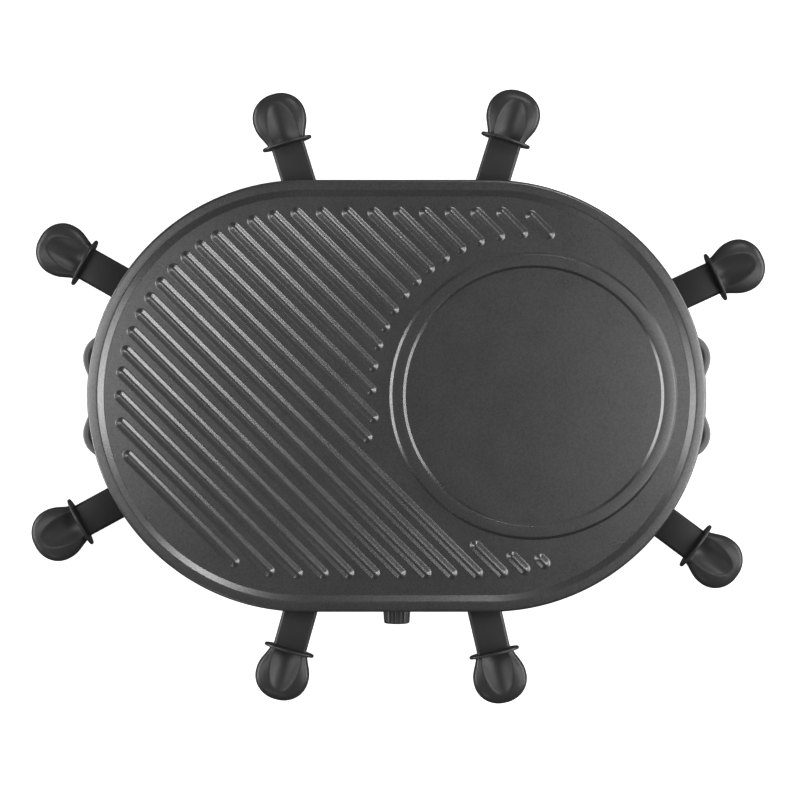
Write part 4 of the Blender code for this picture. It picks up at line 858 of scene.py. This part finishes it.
def stem_skin():
    """Flat stem with bevelled upper edges."""
    side, flat = 0.01205, 0.0104
    under, shoulder, top = -0.0045, 0.0028, 0.0045
    corners = [(-side, under), (side, under), (side, shoulder), (flat, top), (-flat, top), (-side, shoulder)]
    section = rounded(corners, [0.0016, 0.0016, 0.0005, 0.0005, 0.0005, 0.0005], steps=4)
    rings = []
    for x, shrink in ((STEM_START, 0.93), (STEM_START + 0.0005, 1.0), (GUARD_OUT, 1.0)):
        rings.append([(x, y * shrink, STEM_MIDDLE + z * shrink) for y, z in section])
    return lofted(rings, low_cap=True, high_cap=True)


def screw_pocket(mesh):
    """The stem's mesh with the round pocket for its screw below."""
    stem = bpy.data.objects.new("stem_body", mesh)
    radius = 0.0036
    roof, mouth = STEM_MIDDLE - 0.0026, STEM_MIDDLE - 0.0060
    profile = [(AXIS_RADIUS, roof), (radius, roof), (radius, mouth), (AXIS_RADIUS, mouth)]
    points, faces = lofted(lathe(profile, 32, (PAN_SCREW_OUT, 0.0)), low_cap=True, high_cap=True)
    pocket = bpy.data.objects.new("pocket", mesh_from("pocket", points, faces))
    for helper in (stem, pocket):
        bpy.context.scene.collection.objects.link(helper)
    cut = stem.modifiers.new("pocket", "BOOLEAN")
    cut.operation = "DIFFERENCE"
    cut.solver = "EXACT"
    cut.object = pocket
    result = evaluated_mesh(stem)
    for helper in (stem, pocket):
        bpy.data.objects.remove(helper)
    return result


def handle_mesh():
    points, faces = stem_skin()
    stem = screw_pocket(mesh_from("stem", points, faces, sharp=40.0))
    points, faces = merged_skins(bulb_skin(), guard_skin())
    outer = mesh_from("bulb", points, faces, sharp=50.0)
    bm = bmesh.new()
    bm.from_mesh(stem)
    bm.from_mesh(outer)
    mesh = bpy.data.meshes.new("pan_handle_form")
    bm.to_mesh(mesh)
    bm.free()
    mesh.shade_smooth()
    mesh.set_sharp_from_angle(angle=radians(45.0))
    return mesh


def pans():
    tray = tray_mesh()
    handle = handle_mesh()
    for name, (x, y, bearing) in PAN_PLACES.items():
        placed = Matrix.Translation((x, y, 0.0)) @ Matrix.Rotation(radians(bearing), 4, "Z")
        body = f"pan_{name}"
        for kind, mesh, material, slot in (
            ("tray", tray, TRAY_COATING, "tray_coating"),
            ("handle", handle, HANDLE_PLASTIC, "handle_plastic"),
        ):
            own = mesh.copy()
            own.transform(placed)
            shown(f"{kind}_{name}", own, material, body, [f"pan_{kind}_{name}"])


# Solids that stay in view


def painted_nodes():
    for name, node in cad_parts.items():
        if "screw" in name:
            material = SCREW_STEEL
        elif name.startswith("element_bracket") or name in ("bottom_cover", "thermostat_shaft", "thermal_fuse"):
            material = SHEET_STEEL
        elif name == "cord_gland":
            material = FOOT_RUBBER
        elif name == "indicator_lens":
            material = LENS_RED
        elif name in ("indicator_lamp", "terminal_block", "thermostat_body"):
            material = INNER_PLASTIC
        else:
            material = BASE_PLASTIC
        if not node.material_slots:
            node.data.materials.append(material)
        for slot in node.material_slots:
            slot.material = material


# Studio


def softbox(name, place, width, depth, watts):
    """Soft light that faces the grill; it lights the scene and isn't seen."""
    light = bpy.data.lights.new(name, "AREA")
    light.shape = "RECTANGLE"
    light.size = width
    light.size_y = depth
    light.energy = watts
    holder = bpy.data.objects.new(name, light)
    holder.location = place
    holder.rotation_euler = (Vector(LIGHT_AIM) - Vector(place)).to_track_quat("-Z", "Y").to_euler()
    holder.visible_camera = False
    bpy.context.scene.collection.objects.link(holder)


def backdrop():
    """Wide white floor that reflects no light onto the grill."""
    points = [(-6.0, -6.0, 0.0), (6.0, -6.0, 0.0), (6.0, 6.0, 0.0), (-6.0, 6.0, 0.0)]
    mesh = bpy.data.meshes.new("floor")
    mesh.from_pydata(points, [], [(0, 1, 2, 3)])
    mesh.materials.append(paper("studio_paper"))
    floor = bpy.data.objects.new("floor", mesh)
    bpy.context.scene.collection.objects.link(floor)
    floor.visible_glossy = False
    floor.visible_diffuse = False


def studio_world():
    """White where the camera sees it, and a faint fill on the grill."""
    world = bpy.data.worlds.new("studio")
    bpy.context.scene.world = world
    world.use_nodes = True
    nodes = world.node_tree.nodes
    background = nodes["Background"]
    background.inputs["Color"].default_value = (1.0, 1.0, 1.0, 1.0)
    seen = nodes.new("ShaderNodeLightPath").outputs["Is Camera Ray"]
    strength = nodes.new("ShaderNodeMapRange")
    strength.inputs["To Min"].default_value = WORLD_FILL
    strength.inputs["To Max"].default_value = 1.0
    world.node_tree.links.new(seen, strength.inputs["Value"])
    world.node_tree.links.new(strength.outputs["Result"], background.inputs["Strength"])


def top_camera():
    """Camera straight above, far enough for the photo's perspective."""
    camera = bpy.data.cameras.new("camera")
    camera.sensor_width = 36.0
    camera.lens = CAMERA_LENS
    camera.clip_start = 0.01
    camera.clip_end = 30.0
    holder = bpy.data.objects.new("camera", camera)
    holder.location = CAMERA_PLACE
    bpy.context.scene.collection.objects.link(holder)
    bpy.context.scene.camera = holder


painted_nodes()
cast_plate()
base_body()
frame_ring()
deck_sheet()
element_tube()
grips()
knob()
feet()
pans()

bpy.context.scene.view_settings.view_transform = "Standard"
backdrop()
for name, settings in SOFTBOXES.items():
    softbox(name, *settings)
studio_world()
top_camera()
